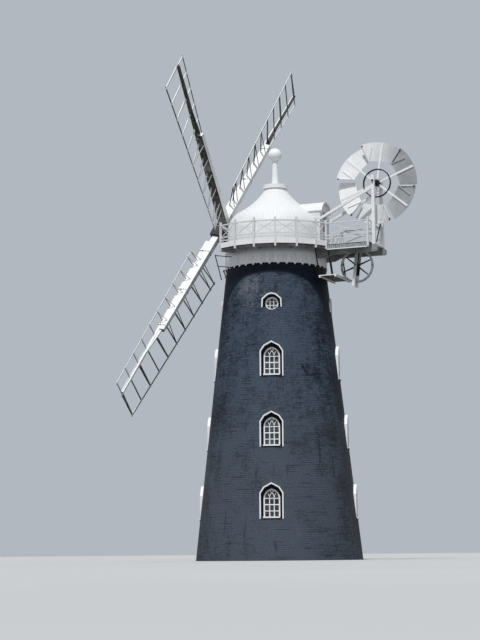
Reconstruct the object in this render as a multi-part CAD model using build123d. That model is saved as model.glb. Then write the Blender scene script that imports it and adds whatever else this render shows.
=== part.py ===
"""Tapered brick tower mill with an ogee cap, gallery, six-vaned fantail and four open sails.

Millimetres, +Z up. The origin is the centre of the tower's foot, on the ground, and the
front column of windows faces -Y. The cap is drawn with its tail towards +X and then turned.
"""
from build123d import *
import os
from math import asin, atan2, cos, degrees, hypot, radians, sin, sqrt, tan

os.makedirs("parts", exist_ok=True)

# Brick tower
base_radius = 3600
wall_head_radius = 2160
wall_head_height = 12850
wall_base_thickness = 690
wall_head_thickness = 460
wall_segment_span = 45

# Pointed windows, one above the other in each column
gothic_sills = (1750, 4750, 7750)
gothic_half_width = 350
gothic_spring = 810
gothic_rise = 405
hood_board = 50
hood_depth = 170
hood_proud = 20
hood_level = 450
gothic_hood = ((500, -30), (500, 1040), (335, 1290), (0, 1470))

# Round windows under the cap
round_height = 10860
round_radius = 285
round_hood = ((440, -170), (420, 210), (190, 410), (0, 464))

# Window joinery
frame_width = 60
frame_depth = 70
frame_setback = 20
glass_thickness = 6
sill_board_proud = 50
sill_block_height = 70
sill_block_proud = 30

# Doorway on the side away from the front
door_half_width = 520
door_height = 2080
door_head_rise = 130
door_setback = 30
door_frame_width = 80
door_frame_depth = 110
door_leaf_thickness = 50
door_floor_gap = 10

# Floors
ground_floor_thickness = 60
floor_levels = (3800, 6800, 9850)
floor_thickness = 45
floor_beam_width = 260
floor_beam_height = 300
floor_beam_offset = 900

# Curb and cap frame
curb_height = 150
curb_inset = 50
curb_width = 350
turning_gap = 0.5
seat_gap = 0.3
cap_ring_height = 60
sheer_offset = 550
sheer_width = 180
sheer_depth = 320
sheer_overrun = 170
corbel_depth = 120
corbel_foot_length = 340
corbel_length = 620
plate_ring_radius = 2200
plate_ring_width = 120
plate_ring_height = 160

# Cap; its heights count up from the gallery's deck
cap_heading_angle = -16.3
cap_radius = 2190
cap_shell = 60
deck_rise = 570
deck_thickness = 40
eave_rise = 790
eave_curve = 1146
ogee_slope_angle = 29
roof_rise = 2850
roof_top_radius = 456
flat_front = 1720
front_board = 40

# Petticoat
petticoat_radius = 2245
petticoat_board = 25
petticoat_drop = 850
scallop_count = 38
scallop_depth = 100
scallop_tip = 20

# Finial
collar_radius = 540
collar_height = 180
finial_foot_radius = 155
finial_neck_radius = 115
finial_foot_rise = 240
ball_rise = 1565
ball_radius = 300

# Rear dormer
dormer_half_width = 580
dormer_face = 2290
dormer_board = 40
dormer_spring_rise = 1660
dormer_arch_rise = 370
hood_overhang = 110
hood_thickness = 40
hood_drop = 60
cap_door_half_width = 300
cap_door_height = 1690
cap_door_thickness = 45
cap_pane_half_width = 190
cap_pane_rises = ((1310, 1610), (740, 1180))

# Gallery
gallery_radius = 2930
gallery_step_angle = 18
gallery_first_angle = 33
gallery_post_count = 6
post_width = 80
post_rise = 1080
post_drop = 180
kickboard_drop = 50
kickboard_height = 220
kickboard_thickness = 30
top_rail_rise = 935
top_rail_size = 50
low_rail_rises = (260, 380)
low_rail_size = 35
brace_width = 32
brace_thickness = 22
joist_width = 70
joist_depth = 160

# Fan stage
stage_half_width = 1050
stage_post_gap = 5
edge_board_depth = 220
edge_board_thickness = 30

# Fantail
fan_distance = 4730
fan_rise = 2716
fan_radius = 1790
fan_post_width = 130
fan_post_overrun = 264
fan_tie_height = 100
fan_shaft_radius = 45
fan_hub_radius = 150
fan_hub_width = 200
fan_arm_count = 6
fan_first_angle = 20.5
fan_arm_width = 90
fan_arm_thickness = 60
fan_arm_end = 40
fan_ring_radius = 630
fan_ring_width = 45
fan_ring_thickness = 14
vane_root = 900
vane_root_bulge = 50
vane_root_half_width = 490
vane_corner = 1570
vane_lead_half_width = 930
vane_trail_half_width = 800
vane_thickness = 22
vane_pitch_angle = 10
batten_width = 45
batten_thickness = 30
running_gap = 0.06
strut_width = 90
strut_depth = 110
strut_offset = 530
strut_foot_rise = 1220
strut_head_drop = 236

# Iron V brace between the fan posts
iron_width = 45
iron_thickness = 16
iron_foot_inset = 120
iron_foot_spread = 60
iron_rise = 1180
iron_link_rise = 795

# Chain wheel and its leaning posts
wheel_distance = 3760
wheel_gap = 60
wheel_radius = 740
wheel_rim_depth = 80
wheel_rim_width = 90
wheel_spoke_count = 6
wheel_spoke_size = 34
wheel_hub_radius = 95
wheel_axle_radius = 30
hanging_post_offset = 220
hanging_post_width = 110
hanging_post_tail = 915
hanging_post_angle = 7
trimmer_height = 180
axle_plate_height = 520
axle_plate_head = 110
axle_plate_thickness = 12

# Hanging platform
platform_length = 820
platform_half_width = 950
platform_drop = 440
platform_gap = 20
platform_thickness = 40
platform_beam = 70
platform_beam_inset = 60
rod_radius = 12
rod_lean = 180
rod_near_inset = 30
rod_far_inset = 220

# Bracket under the gallery's front corner; levels count down from the deck
bracket_angle = -128
bracket_bar = 30
bracket_arms = ((340, 3060), (800, 2910))
bracket_foot = (1400, 2740)

# Windshaft and sails
shaft_tilt_angle = 12.8
hub_forward = 2730
hub_rise = 1060
neck_radius = 200
tail_radius = 120
neck_forward = 1430
neck_beam_width = 260
tail_backward = 900
tail_beam_width = 220
bearing_length = 200
canister_half_width = 260
canister_back = 790
canister_front = 290
canister_collar = 60
first_sail_angle = 36.7
stock_spacing = 560
stock_half_length = 6000
stock_root_depth = 300
stock_tip_depth = 200
stock_root_width = 280
stock_tip_width = 180
whip_root = 600
sail_radius = 9660
whip_root_width = 200
whip_tip_width = 90
whip_root_depth = 200
whip_tip_depth = 110
bar_spacing = 836
bar_count = 10
heel_spacing = 370
bar_width = 50
bar_thickness = 34
bar_plane = 80
bar_overrun = 70
drive_width = 1415
lead_width = 600
heel_weather_angle = 20
tip_weather_angle = 5
hemlath_size = (28, 62)
lead_rail_size = (24, 50)
stay_size = 26
strap_positions = (1200, 3600, 5750)
strap_width = 70
strap_thickness = 12

# Worked out from the sizes above
wall_segment_names = ("wall_right", "wall_back_right", "wall_back", "wall_back_left",
                      "wall_left", "wall_front_left", "wall_front", "wall_front_right")
cap_base = wall_head_height + curb_height + turning_gap
deck_level = wall_head_height + deck_rise
deck_underside = deck_level - deck_thickness
petticoat_foot = deck_level - petticoat_drop
sheer_foot = deck_underside - sheer_depth
sheer_tail = fan_distance + sheer_overrun
eave_level = deck_level + eave_rise
roof_top_level = deck_level + roof_rise
ball_level = roof_top_level + ball_rise
dormer_spring = deck_level + dormer_spring_rise
cap_door_top = deck_level + cap_door_height
post_head = deck_level + post_rise
post_foot = deck_level - post_drop
kickboard_foot = deck_level - kickboard_drop
top_rail_level = deck_level + top_rail_rise
low_rail_levels = [deck_level + rise for rise in low_rail_rises]
stage_end = fan_distance - (fan_post_width + post_width) / 2 - stage_post_gap
fan_height = deck_level + fan_rise
wheel_height = deck_underside - wheel_gap - wheel_radius
platform_level = wheel_height - platform_drop
platform_end = wheel_distance - sqrt(wheel_radius ** 2 - platform_drop ** 2) - platform_gap
hub_height = deck_level + hub_rise
far_reach = 2 * base_radius
bar_radii = [sail_radius - bar_spacing * k for k in range(bar_count)]
bar_radii.append(bar_radii[-1] - heel_spacing)


def write(shape, node):
    export_step(shape, f"parts/{node}.step")


def wall_radius(level):
    return base_radius + (wall_head_radius - base_radius) * level / wall_head_height


def room_radius(level):
    taper = (wall_head_thickness - wall_base_thickness) * level / wall_head_height
    return wall_radius(level) - wall_base_thickness - taper


def outline(points):
    """A closed face with straight sides, in the plane it is placed on."""
    return make_face(Polyline(*points, close=True))


def mirrored(points):
    """Half an outline, from its right foot to its crown, made whole."""
    return list(points) + [(-x, y) for x, y in reversed(points) if x]


def ring(inner, outer, low, high):
    profile = Plane.XZ * outline(((inner, low), (outer, low), (outer, high), (inner, high)))
    return revolve(profile, Axis.Z)


def bar_between(start, end, width, depth, up=(0, 0, 1)):
    """A straight bar of rectangular section; width lies across, depth along up."""
    way = Vector(*end) - Vector(*start)
    across = way.cross(Vector(*up))
    plane = Plane(origin=start, x_dir=across, z_dir=way)
    return extrude(plane * Rectangle(width, depth), way.length)


# Tower

def facing(sketch, near, far):
    """A solid on the front side, between two distances from the tower's axis."""
    return extrude(Plane.XZ.offset(near) * sketch, far - near)


def pointed_arch(half_width, spring, rise, shrink=0):
    """The outline of a pointed light; shrink draws it that much smaller all round."""
    arc_radius = (half_width ** 2 + rise ** 2) / (2 * half_width)
    arc = arc_radius - shrink
    half = half_width - shrink
    crown = spring + sqrt(arc ** 2 - (arc_radius - half_width) ** 2)
    turn = radians(180 - degrees(asin((crown - spring) / arc)) / 2)
    side = (arc_radius - half_width + arc * cos(turn), spring + arc * sin(turn))
    foot = shrink
    edges = [
        Line((-half, foot), (-half, spring)),
        ThreePointArc((-half, spring), side, (0, crown)),
        ThreePointArc((0, crown), (-side[0], side[1]), (half, spring)),
        Line((half, spring), (half, foot)),
        Line((half, foot), (-half, foot)),
    ]
    return make_face(edges)


def hood_face(level):
    """The moulding's upright front plane: proud of the battered wall only above this level."""
    return wall_radius(level) + hood_proud


def gothic_window(sill):
    """Recess, through opening, sill block, hood, glass and the frame with its sill board."""
    front = hood_face(sill + hood_level)
    back = front - hood_depth
    place = Pos(0, sill)
    hood_outline = outline(mirrored(gothic_hood))
    recess = facing(place * hood_outline, back, far_reach)
    light = pointed_arch(gothic_half_width, gothic_spring, gothic_rise)
    through = facing(place * light, 0, far_reach)
    inside = offset(hood_outline, -hood_board, kind=Kind.INTERSECTION)
    inside += Pos(0, gothic_hood[0][1]) * Rectangle(2 * (gothic_hood[0][0] - hood_board), 3 * hood_board)
    hood = facing(place * (hood_outline - inside), back, front)
    frame_back = back - frame_setback - frame_depth
    pane = pointed_arch(gothic_half_width, gothic_spring, gothic_rise, frame_width)
    frame = facing(place * (light - pane), frame_back, frame_back + frame_depth)
    board = place * Pos(0, frame_width / 2) * Rectangle(2 * gothic_half_width, frame_width)
    frame += facing(board, frame_back, wall_radius(sill) + sill_board_proud)
    glass_back = frame_back + (frame_depth - glass_thickness) / 2
    glass = facing(place * pane, glass_back, glass_back + glass_thickness)
    sill_half = gothic_hood[0][0] - hood_board
    block = outline(((-sill_half, -sill_block_height), (sill_half, -sill_block_height),
                     (sill_half, 0), (-sill_half, 0)))
    sill_block = facing(place * block, back, front + sill_block_proud)
    return {"recess": recess, "through": through, "sill": sill_block,
            "hood": hood, "frame": frame, "glass": glass}


def round_window():
    front = hood_face(round_height)
    back = front - hood_depth
    place = Pos(0, round_height)
    hood_outline = outline(mirrored(round_hood))
    recess = facing(place * (hood_outline + Circle(round_radius)), back, far_reach)
    through = facing(place * Circle(round_radius), 0, far_reach)
    inside = offset(hood_outline, -hood_board, kind=Kind.INTERSECTION)
    inside += Pos(0, round_hood[0][1]) * Rectangle(2 * (round_hood[0][0] - hood_board), 3 * hood_board)
    hood = facing(place * (hood_outline - inside), back, front)
    frame_back = back - frame_setback - frame_depth
    pane = Circle(round_radius - frame_width)
    frame = facing(place * (Circle(round_radius) - pane), frame_back, frame_back + frame_depth)
    glass_back = frame_back + (frame_depth - glass_thickness) / 2
    glass = facing(place * pane, glass_back, glass_back + glass_thickness)
    return {"recess": recess, "through": through, "hood": hood, "frame": frame, "glass": glass}


def door_outline(shrink=0):
    half = door_half_width - shrink
    arch_radius = (door_half_width ** 2 + door_head_rise ** 2) / (2 * door_head_rise)
    centre = door_height + door_head_rise - arch_radius
    spring = centre + sqrt((arch_radius - shrink) ** 2 - half ** 2)
    crown = (0, centre + arch_radius - shrink)
    edges = [Line((-half, 0), (-half, spring)), ThreePointArc((-half, spring), crown, (half, spring)),
             Line((half, spring), (half, 0)), Line((half, 0), (-half, 0))]
    return make_face(edges)


def back_door():
    """The doorway's cut, its frame and a closed boarded leaf."""
    front = wall_radius(door_height + door_head_rise) - door_setback
    back = front - door_frame_depth
    cut = facing(door_outline(), 0, far_reach)
    frame = facing(door_outline() - door_outline(door_frame_width), back, front)
    leaf_back = back + (door_frame_depth - door_leaf_thickness) / 2
    leaf = facing(door_outline(door_frame_width), leaf_back, leaf_back + door_leaf_thickness)
    floor_line = ground_floor_thickness + door_floor_gap
    leaf -= Box(far_reach, 2 * far_reach, 2 * floor_line)
    return cut, frame, leaf


def wall_segment(centre_angle):
    head = wall_head_height
    profile = Plane.XZ * outline(((room_radius(0), 0), (base_radius, 0),
                                  (wall_head_radius, head), (room_radius(head), head)))
    return Rot(0, 0, centre_angle - wall_segment_span / 2) * revolve(profile, Axis.Z, wall_segment_span)


def room_slice(low, high):
    """The round of the room between two levels, tapering with the wall."""
    height = high - low
    return Pos(0, 0, low) * Cone(room_radius(low), room_radius(high), height,
                                 align=(Align.CENTER, Align.CENTER, Align.MIN))


def upper_floor(level):
    """Boards on two beams that are let into the wall."""
    boards = room_slice(level - floor_thickness, level)
    beam_top = level - floor_thickness
    space = room_slice(beam_top - floor_beam_height, beam_top)
    beams = [Pos(0, side * floor_beam_offset, beam_top - floor_beam_height / 2)
             * Box(2 * base_radius, floor_beam_width, floor_beam_height) for side in (-1, 1)]
    return boards + (space & Compound(children=beams))


def build_tower():
    windows = [gothic_window(sill) for sill in gothic_sills] + [round_window()]
    door_cut, door_frame, door_leaf = back_door()
    hoods, frames, panes = [], [], []
    for index, name in enumerate(wall_segment_names):
        angle = index * wall_segment_span
        segment = wall_segment(angle)
        if angle % 90 == 0:
            turn = Rot(0, 0, angle + 90)
            is_back = name == "wall_back"
            for window in windows[1:] if is_back else windows:
                segment -= turn * window["recess"]
                if "sill" in window:
                    segment += turn * window["sill"]
                segment -= turn * window["through"]
                hoods.append(turn * window["hood"])
                frames.append(turn * window["frame"])
                panes.append(turn * window["glass"])
            if is_back:
                segment -= turn * door_cut
                write(turn * door_frame, "door_frame")
                write(turn * door_leaf, "back_door")
        write(segment, name)
    write(Compound(children=hoods), "window_hoods")
    write(Compound(children=frames), "window_frames")
    write(Compound(children=panes), "window_glass")
    write(room_slice(0, ground_floor_thickness), "ground_floor")
    write(Compound(children=[upper_floor(level) for level in floor_levels]), "upper_floors")
    curb_outer = wall_head_radius - curb_inset
    curb_top = wall_head_height + curb_height
    write(ring(curb_outer - curb_width, curb_outer, wall_head_height, curb_top), "curb")


# Cap, drawn with its tail towards +X

def turned(shape):
    return Rot(0, 0, cap_heading_angle) * shape


def write_turned(pieces, node):
    """Turn pieces of the cap to its heading and write them as one node of separate solids."""
    write(Compound(children=[turned(piece) for piece in pieces]), node)


def polar(radius, angle, level=0):
    return (radius * cos(radians(angle)), radius * sin(radians(angle)), level)


def ogee_profile(shrink):
    """Half the roof's section: a hollow sweep over a swelling eave, as two tangent arcs."""
    lift = radians(90 - ogee_slope_angle)
    swell_x = cap_radius - eave_curve
    swell = eave_curve - shrink
    meet = (swell_x + eave_curve * cos(lift), eave_level + eave_curve * sin(lift))
    dx = meet[0] - roof_top_radius
    dz = roof_top_level - meet[1]
    hollow = (dx ** 2 + dz ** 2) / (2 * (dz * sin(lift) - dx * cos(lift)))
    centre = (meet[0] + hollow * cos(lift), meet[1] + hollow * sin(lift))
    sweep = hollow + shrink
    top = roof_top_level - shrink
    top_x = centre[0] - sqrt(sweep ** 2 - (centre[1] - top) ** 2)
    top_turn = atan2(top - centre[1], top_x - centre[0])
    low_turn = lift - radians(180)
    mid_turn = ((top_turn if top_turn < 0 else top_turn - radians(360)) + low_turn) / 2
    join = (centre[0] + sweep * cos(low_turn), centre[1] + sweep * sin(low_turn))
    middle = (centre[0] + sweep * cos(mid_turn), centre[1] + sweep * sin(mid_turn))
    belly = (swell_x + swell * cos(lift / 2), eave_level + swell * sin(lift / 2))
    foot = (cap_radius - shrink, eave_level)
    return [
        Line((0, eave_level), foot),
        ThreePointArc(foot, belly, join),
        ThreePointArc(join, middle, (top_x, top)),
        Line((top_x, top), (0, top)),
        Line((0, top), (0, eave_level)),
    ]


def cap_envelope(shrink=0):
    """The whole space under the cap's outer (or inner) face, down to the deck."""
    dome = revolve(Plane.XZ * make_face(ogee_profile(shrink)), Axis.Z)
    drum = ring(0, cap_radius - shrink, deck_level, eave_level)
    return dome + drum


def barrel_outline(half_width, rise, foot, shrink=0):
    arc_radius = (half_width ** 2 + rise ** 2) / (2 * rise)
    centre = dormer_spring + rise - arc_radius
    half = half_width - shrink
    spring = centre + sqrt((arc_radius - shrink) ** 2 - half ** 2)
    crown = (0, centre + arc_radius - shrink)
    edges = [Line((-half, foot), (-half, spring)), ThreePointArc((-half, spring), crown, (half, spring)),
             Line((half, spring), (half, foot)), Line((half, foot), (-half, foot))]
    return make_face(edges)


def tailward(sketch, near, far):
    """A solid drawn across the cap, between two distances behind its axis."""
    return extrude(Plane.YZ.offset(near) * sketch, far - near)


def dormer_space(shrink, near, far):
    return tailward(barrel_outline(dormer_half_width, dormer_arch_rise, deck_level, shrink), near, far)


def build_cap_body():
    envelope = cap_envelope()
    room = cap_envelope(cap_shell)
    behind_front = Pos(-flat_front, 0, 0) * Box(far_reach, far_reach, 2 * roof_top_level,
                                               align=(Align.MIN, Align.CENTER, Align.CENTER))
    dormer_room = dormer_space(dormer_board, 0, far_reach)
    shell = (envelope - room) & behind_front
    shell -= dormer_room
    below_eave = Box(4 * cap_radius, 4 * cap_radius, 2 * eave_level)
    write(turned(shell & below_eave), "cap_wall")
    write(turned(shell - below_eave), "cap_roof")
    front = Pos(-flat_front, 0, 0) * Box(front_board, far_reach, 2 * roof_top_level,
                                         align=(Align.MIN, Align.CENTER, Align.CENTER))
    shaft_space = shaft_plane() * Cylinder(neck_radius + 3 * strap_thickness, 2 * hub_forward)
    write(turned((front & room) - shaft_space), "cap_front")

    walls = dormer_space(0, 0, dormer_face) - dormer_space(dormer_board, 0, dormer_face - dormer_board)
    doorway = ((-cap_door_half_width, deck_level), (cap_door_half_width, deck_level),
               (cap_door_half_width, cap_door_top), (-cap_door_half_width, cap_door_top))
    walls -= tailward(outline(doorway), dormer_face - 2 * dormer_board, far_reach)
    hood_half = dormer_half_width + hood_thickness
    hood_rise = dormer_arch_rise + hood_thickness
    hood_foot = dormer_spring - hood_drop
    hood = tailward(barrel_outline(hood_half, hood_rise, hood_foot), 0, dormer_face + hood_overhang)
    hood -= dormer_space(0, 0, far_reach)
    write(turned((walls + hood) - envelope), "rear_dormer")

    door_back = dormer_face - dormer_board
    door = tailward(outline(doorway), door_back, door_back + cap_door_thickness)
    panes = []
    for low, high in cap_pane_rises:
        pane = Pos(0, deck_level + (low + high) / 2) * Rectangle(2 * cap_pane_half_width, high - low)
        door -= tailward(pane, 0, far_reach)
        glass_back = door_back + (cap_door_thickness - glass_thickness) / 2
        panes.append(tailward(pane, glass_back, glass_back + glass_thickness))
    write(turned(door), "cap_door")
    write_turned(panes, "cap_door_glass")


def build_finial():
    collar_foot = roof_top_level
    collar_top = collar_foot + collar_height
    foot_level = collar_foot + finial_foot_rise
    touch = sqrt(ball_radius ** 2 - finial_neck_radius ** 2)
    edges = [
        Line((0, collar_foot), (collar_radius, collar_foot)),
        Line((collar_radius, collar_foot), (collar_radius, collar_top)),
        Line((collar_radius, collar_top), (finial_foot_radius, foot_level)),
        Line((finial_foot_radius, foot_level), (finial_neck_radius, ball_level - touch)),
        ThreePointArc((finial_neck_radius, ball_level - touch), (ball_radius, ball_level),
                      (0, ball_level + ball_radius)),
        Line((0, ball_level + ball_radius), (0, collar_foot)),
    ]
    write(turned(revolve(Plane.XZ * make_face(edges), Axis.Z)), "finial")


def sheers():
    """Two long timbers to the fantail, with rounded noses and a corbel outside the petticoat."""
    inner_edge = sheer_offset - sheer_width / 2
    skirt = sqrt(petticoat_radius ** 2 - inner_edge ** 2) + seat_gap
    nose = sheer_depth / 2
    low = sheer_foot - corbel_depth
    run = outline(((-flat_front, sheer_foot), (skirt, sheer_foot), (skirt, low),
                   (skirt + corbel_foot_length, low), (skirt + corbel_length, sheer_foot),
                   (sheer_tail, sheer_foot), (sheer_tail, deck_underside - nose / 2),
                   (sheer_tail - nose, deck_underside), (-flat_front, deck_underside)))
    ends = [corner for corner in run.vertices()
            if corner.X > sheer_tail - 1 and corner.Y < deck_underside - nose / 4]
    run = fillet(ends, nose / 2)
    return [extrude(Plane.XZ.offset(-side * sheer_offset - sheer_width / 2) * run, sheer_width)
            for side in (-1, 1)]


def shaft_level(x):
    """Height of the windshaft's axis over a point of the cap's centre line."""
    return hub_height - (x + hub_forward) * tan(radians(shaft_tilt_angle))


def cross_beam(x, top, width):
    height = top - deck_underside
    span = 2 * sheer_offset + sheer_width
    return Pos(x, 0, deck_underside + height / 2) * Box(width, span, height)


def build_cap_frame():
    curb_outer = wall_head_radius - curb_inset
    frame = ring(curb_outer - curb_width, curb_outer, cap_base, cap_base + cap_ring_height)
    frame += ring(plate_ring_radius - plate_ring_width, plate_ring_radius,
                  deck_underside - plate_ring_height, deck_underside)
    for beam in sheers():
        frame += beam
    neck_seat = shaft_level(-neck_forward) - 1.4 * neck_radius
    tail_seat = shaft_level(tail_backward) - 1.4 * tail_radius
    frame += cross_beam(-neck_forward, neck_seat, neck_beam_width)
    frame += cross_beam(tail_backward, tail_seat, tail_beam_width)
    write(turned(frame), "cap_frame")
    floor = ring(0, plate_ring_radius - plate_ring_width, deck_underside, deck_level)
    write(turned(floor - frame), "cap_floor")
    return frame


def notch(width, depth, angle=0, aside=0):
    """The space that a timber below the deck takes out of the petticoat's boards."""
    return (Rot(0, 0, angle) * Pos(0, aside, deck_underside - depth / 2)
            * Box(far_reach, width + 2 * seat_gap, depth + 2 * seat_gap,
                  align=(Align.MIN, Align.CENTER, Align.CENTER)))


def build_petticoat():
    """Boards hung round the wall's head, their feet cut to a row of hollow scallops."""
    skirt = ring(petticoat_radius - petticoat_board, petticoat_radius, petticoat_foot, deck_underside)
    pitch = 2 * petticoat_radius * sin(radians(180 / scallop_count))
    chord = (pitch - scallop_tip) / 2
    scallop_radius = (chord ** 2 + scallop_depth ** 2) / (2 * scallop_depth)
    centre = petticoat_foot + scallop_depth - scallop_radius
    cutter = Plane.YZ * Pos(0, centre) * Circle(scallop_radius)
    cutter = extrude(cutter, 2 * petticoat_radius)
    for k in range(scallop_count):
        skirt -= Rot(0, 0, 360 * (k + 0.5) / scallop_count) * cutter
    for side in (-1, 1):
        skirt -= notch(sheer_width, sheer_depth, aside=side * sheer_offset)
        for angle in post_angles(side):
            skirt -= notch(joist_width, joist_depth, angle)
    write(turned(skirt), "petticoat")


def post_angles(side):
    return [side * (gallery_first_angle + gallery_step_angle * k) for k in range(gallery_post_count)]


def gallery_post(angle):
    height = post_head - post_foot
    return (Rot(0, 0, angle) * Pos(gallery_radius, 0, post_foot + height / 2)
            * Box(post_width, post_width, height))


def stage_corner_posts():
    """Posts where the stage leaves the gallery and at its far corners."""
    near = sqrt(gallery_radius ** 2 - stage_half_width ** 2)
    height = post_head - post_foot
    return {(x, side): Pos(x, side * stage_half_width, post_foot + height / 2)
            * Box(post_width, post_width, height)
            for x in (near, stage_end) for side in (-1, 1)}


def railing_panel(start, end):
    """One bay between two post centres: a top rail, two low rails and a crossed brace."""
    length = hypot(end[0] - start[0], end[1] - start[1])
    angle = degrees(atan2(end[1] - start[1], end[0] - start[0]))
    low = low_rail_levels[-1]
    panel = Pos(length / 2, 0, top_rail_level) * Box(length, top_rail_size, top_rail_size)
    for level in low_rail_levels:
        panel += Pos(length / 2, 0, level) * Box(length, low_rail_size, low_rail_size)
    inset = post_width / 4
    for ends in ((low, top_rail_level), (top_rail_level, low)):
        panel += bar_between((inset, 0, ends[0]), (length - inset, 0, ends[1]),
                             brace_thickness, brace_width)
    return Pos(start[0], start[1], 0) * Rot(0, 0, angle) * panel


def build_gallery():
    inner_face = gallery_radius - post_width / 2
    stage_posts = stage_corner_posts()
    near_x = min(x for x, side in stage_posts)
    railings, kickboards, all_posts = [], [], []
    for side in (-1, 1):
        angles = post_angles(side)
        posts = [gallery_post(angle) for angle in angles] + [stage_posts[near_x, side]]
        points = [(near_x, side * stage_half_width)] + [polar(gallery_radius, a)[:2] for a in angles]
        end_wall = (points[-1][0], side * sqrt(cap_radius ** 2 - points[-1][0] ** 2) / 2)
        railing = posts[0]
        for post in posts[1:]:
            railing += post
        for start, end in zip(points, points[1:] + [end_wall]):
            railing += railing_panel(start, end)
        railing -= ring(0, cap_radius, deck_level, post_head + post_width)
        railings.append(railing)
        all_posts += posts
        for start, end in zip(points, points[1:]):
            kickboards.append(kickboard(start, end))
    deck_points = [(inner_face * cos(radians(a)), inner_face * sin(radians(a)))
                   for a in reversed(post_angles(-1))]
    deck_points += [(near_x, -stage_half_width + post_width / 2), (near_x, stage_half_width - post_width / 2)]
    deck_points += [(inner_face * cos(radians(a)), inner_face * sin(radians(a))) for a in post_angles(1)]
    deck = extrude(Plane.XY.offset(deck_underside) * outline(deck_points), deck_thickness)
    deck += ring(0, plate_ring_radius, deck_underside, deck_level)
    deck -= ring(0, plate_ring_radius - plate_ring_width, deck_underside - 1, deck_level + 1)
    skirting = Compound(children=kickboards)
    for post in all_posts:
        deck -= post
        skirting -= post
    write(turned(deck), "gallery_deck")
    write(turned(skirting), "gallery_kickboards")
    write_turned(railings, "gallery_railing")
    joists = gallery_joists()
    write_turned(joists, "gallery_joists")


def kickboard(start, end):
    length = hypot(end[0] - start[0], end[1] - start[1])
    angle = degrees(atan2(end[1] - start[1], end[0] - start[0]))
    board = (Pos(length / 2, 0, kickboard_foot + kickboard_height / 2)
             * Box(length, kickboard_thickness, kickboard_height))
    return Pos(start[0], start[1], 0) * Rot(0, 0, angle) * board


def gallery_joists():
    joists = []
    core = ring(0, plate_ring_radius + seat_gap, 0, deck_level)
    for side in (-1, 1):
        for angle in post_angles(side):
            run = gallery_radius - post_width / 2
            joist = (Rot(0, 0, angle) * Pos(0, 0, deck_underside - joist_depth / 2)
                     * Box(run, joist_width, joist_depth, align=(Align.MIN, Align.CENTER, Align.CENTER)))
            joists.append(joist - core)
    return joists


def build_stage():
    near = sqrt(gallery_radius ** 2 - stage_half_width ** 2)
    posts = stage_corner_posts()
    start = near
    length = stage_end + post_width / 2 - start
    deck = (Pos(start, 0, deck_underside + deck_thickness / 2)
            * Box(length, 2 * stage_half_width - post_width, deck_thickness,
                  align=(Align.MIN, Align.CENTER, Align.CENTER)))
    for side in (-1, 1):
        edge_y = side * (stage_half_width - post_width / 2 + edge_board_thickness / 2)
        deck += (Pos(start, edge_y, deck_level - edge_board_depth / 2)
                 * Box(length, edge_board_thickness, edge_board_depth,
                       align=(Align.MIN, Align.CENTER, Align.CENTER)))
    for post in posts.values():
        deck -= post
    write(turned(deck), "stage_deck")
    railing = []
    lap = fan_distance - (fan_post_width + top_rail_size) / 2
    for side in (-1, 1):
        bay = posts[stage_end, side]
        bay += railing_panel((near, side * stage_half_width), (stage_end, side * stage_half_width))
        bay -= posts[near, side]
        for level, size in [(top_rail_level, top_rail_size), (low_rail_levels[-1], low_rail_size)]:
            bay += (Pos(lap, side * (stage_half_width + sheer_offset) / 2, level)
                    * Box(top_rail_size, stage_half_width - sheer_offset, size))
        railing.append(bay)
    write_turned(railing, "stage_railing")


def build_fan_supports():
    """Two posts with a tie across their feet, and a strut from the dormer to each."""
    hole = (Pos(fan_distance, 0, fan_height) * Rot(90, 0, 0)
            * Cylinder(fan_shaft_radius + running_gap, 4 * sheer_offset))
    height = fan_height + fan_post_overrun - deck_underside
    tie_span = 2 * sheer_offset - fan_post_width
    frame = (Pos(fan_distance, 0, deck_underside + fan_tie_height / 2)
             * Box(fan_post_width, tie_span, fan_tie_height))
    for side in (-1, 1):
        frame += (Pos(fan_distance, side * sheer_offset, deck_underside + height / 2)
                  * Box(fan_post_width, fan_post_width, height))
    frame -= hole
    write(turned(frame), "fan_posts")
    between = (Pos(dormer_face, 0, 0)
               * Box(fan_distance - fan_post_width / 2 - dormer_face, far_reach, 2 * fan_height,
                     align=(Align.MIN, Align.CENTER, Align.CENTER)))
    foot = (dormer_face - strut_depth, strut_offset, deck_level + strut_foot_rise)
    head = (fan_distance, strut_offset, fan_height - strut_head_drop)
    strut = between & bar_between(foot, head, strut_width, strut_depth)
    write_turned([strut, mirror(strut, Plane.XZ)], "fan_struts")
    return frame


def build_iron_braces(fan_posts):
    """A flat iron V from the end of the stage up to the fan posts, tied by a link."""
    foot_x = fan_distance - iron_foot_inset
    foot = deck_level + iron_thickness / 2
    half_foot = iron_foot_spread / 2
    head_y = sheer_offset - fan_post_width / 2
    brace = Pos(foot_x, 0, foot) * Box(iron_width, 2 * iron_foot_spread, iron_thickness)
    for side in (-1, 1):
        head = (fan_distance, side * (head_y + iron_thickness), deck_level + iron_rise)
        brace += bar_between((foot_x, side * half_foot, foot), head,
                             iron_width, iron_thickness, up=(0, 1, 0))
    share = iron_link_rise / iron_rise
    half_link = half_foot + (head_y - half_foot) * share
    brace += (Pos(foot_x + iron_foot_inset * share, 0, deck_level + iron_link_rise)
              * Box(iron_width, 2 * half_link, iron_thickness))
    write(turned(brace - fan_posts), "iron_braces")


def leaning(level):
    """The plane along the hanging posts' lean, whose origin is their line at this level."""
    run = (level - wheel_height) * tan(radians(hanging_post_angle))
    return Pos(wheel_distance + run, 0, level) * Rot(0, hanging_post_angle, 0)


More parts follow.
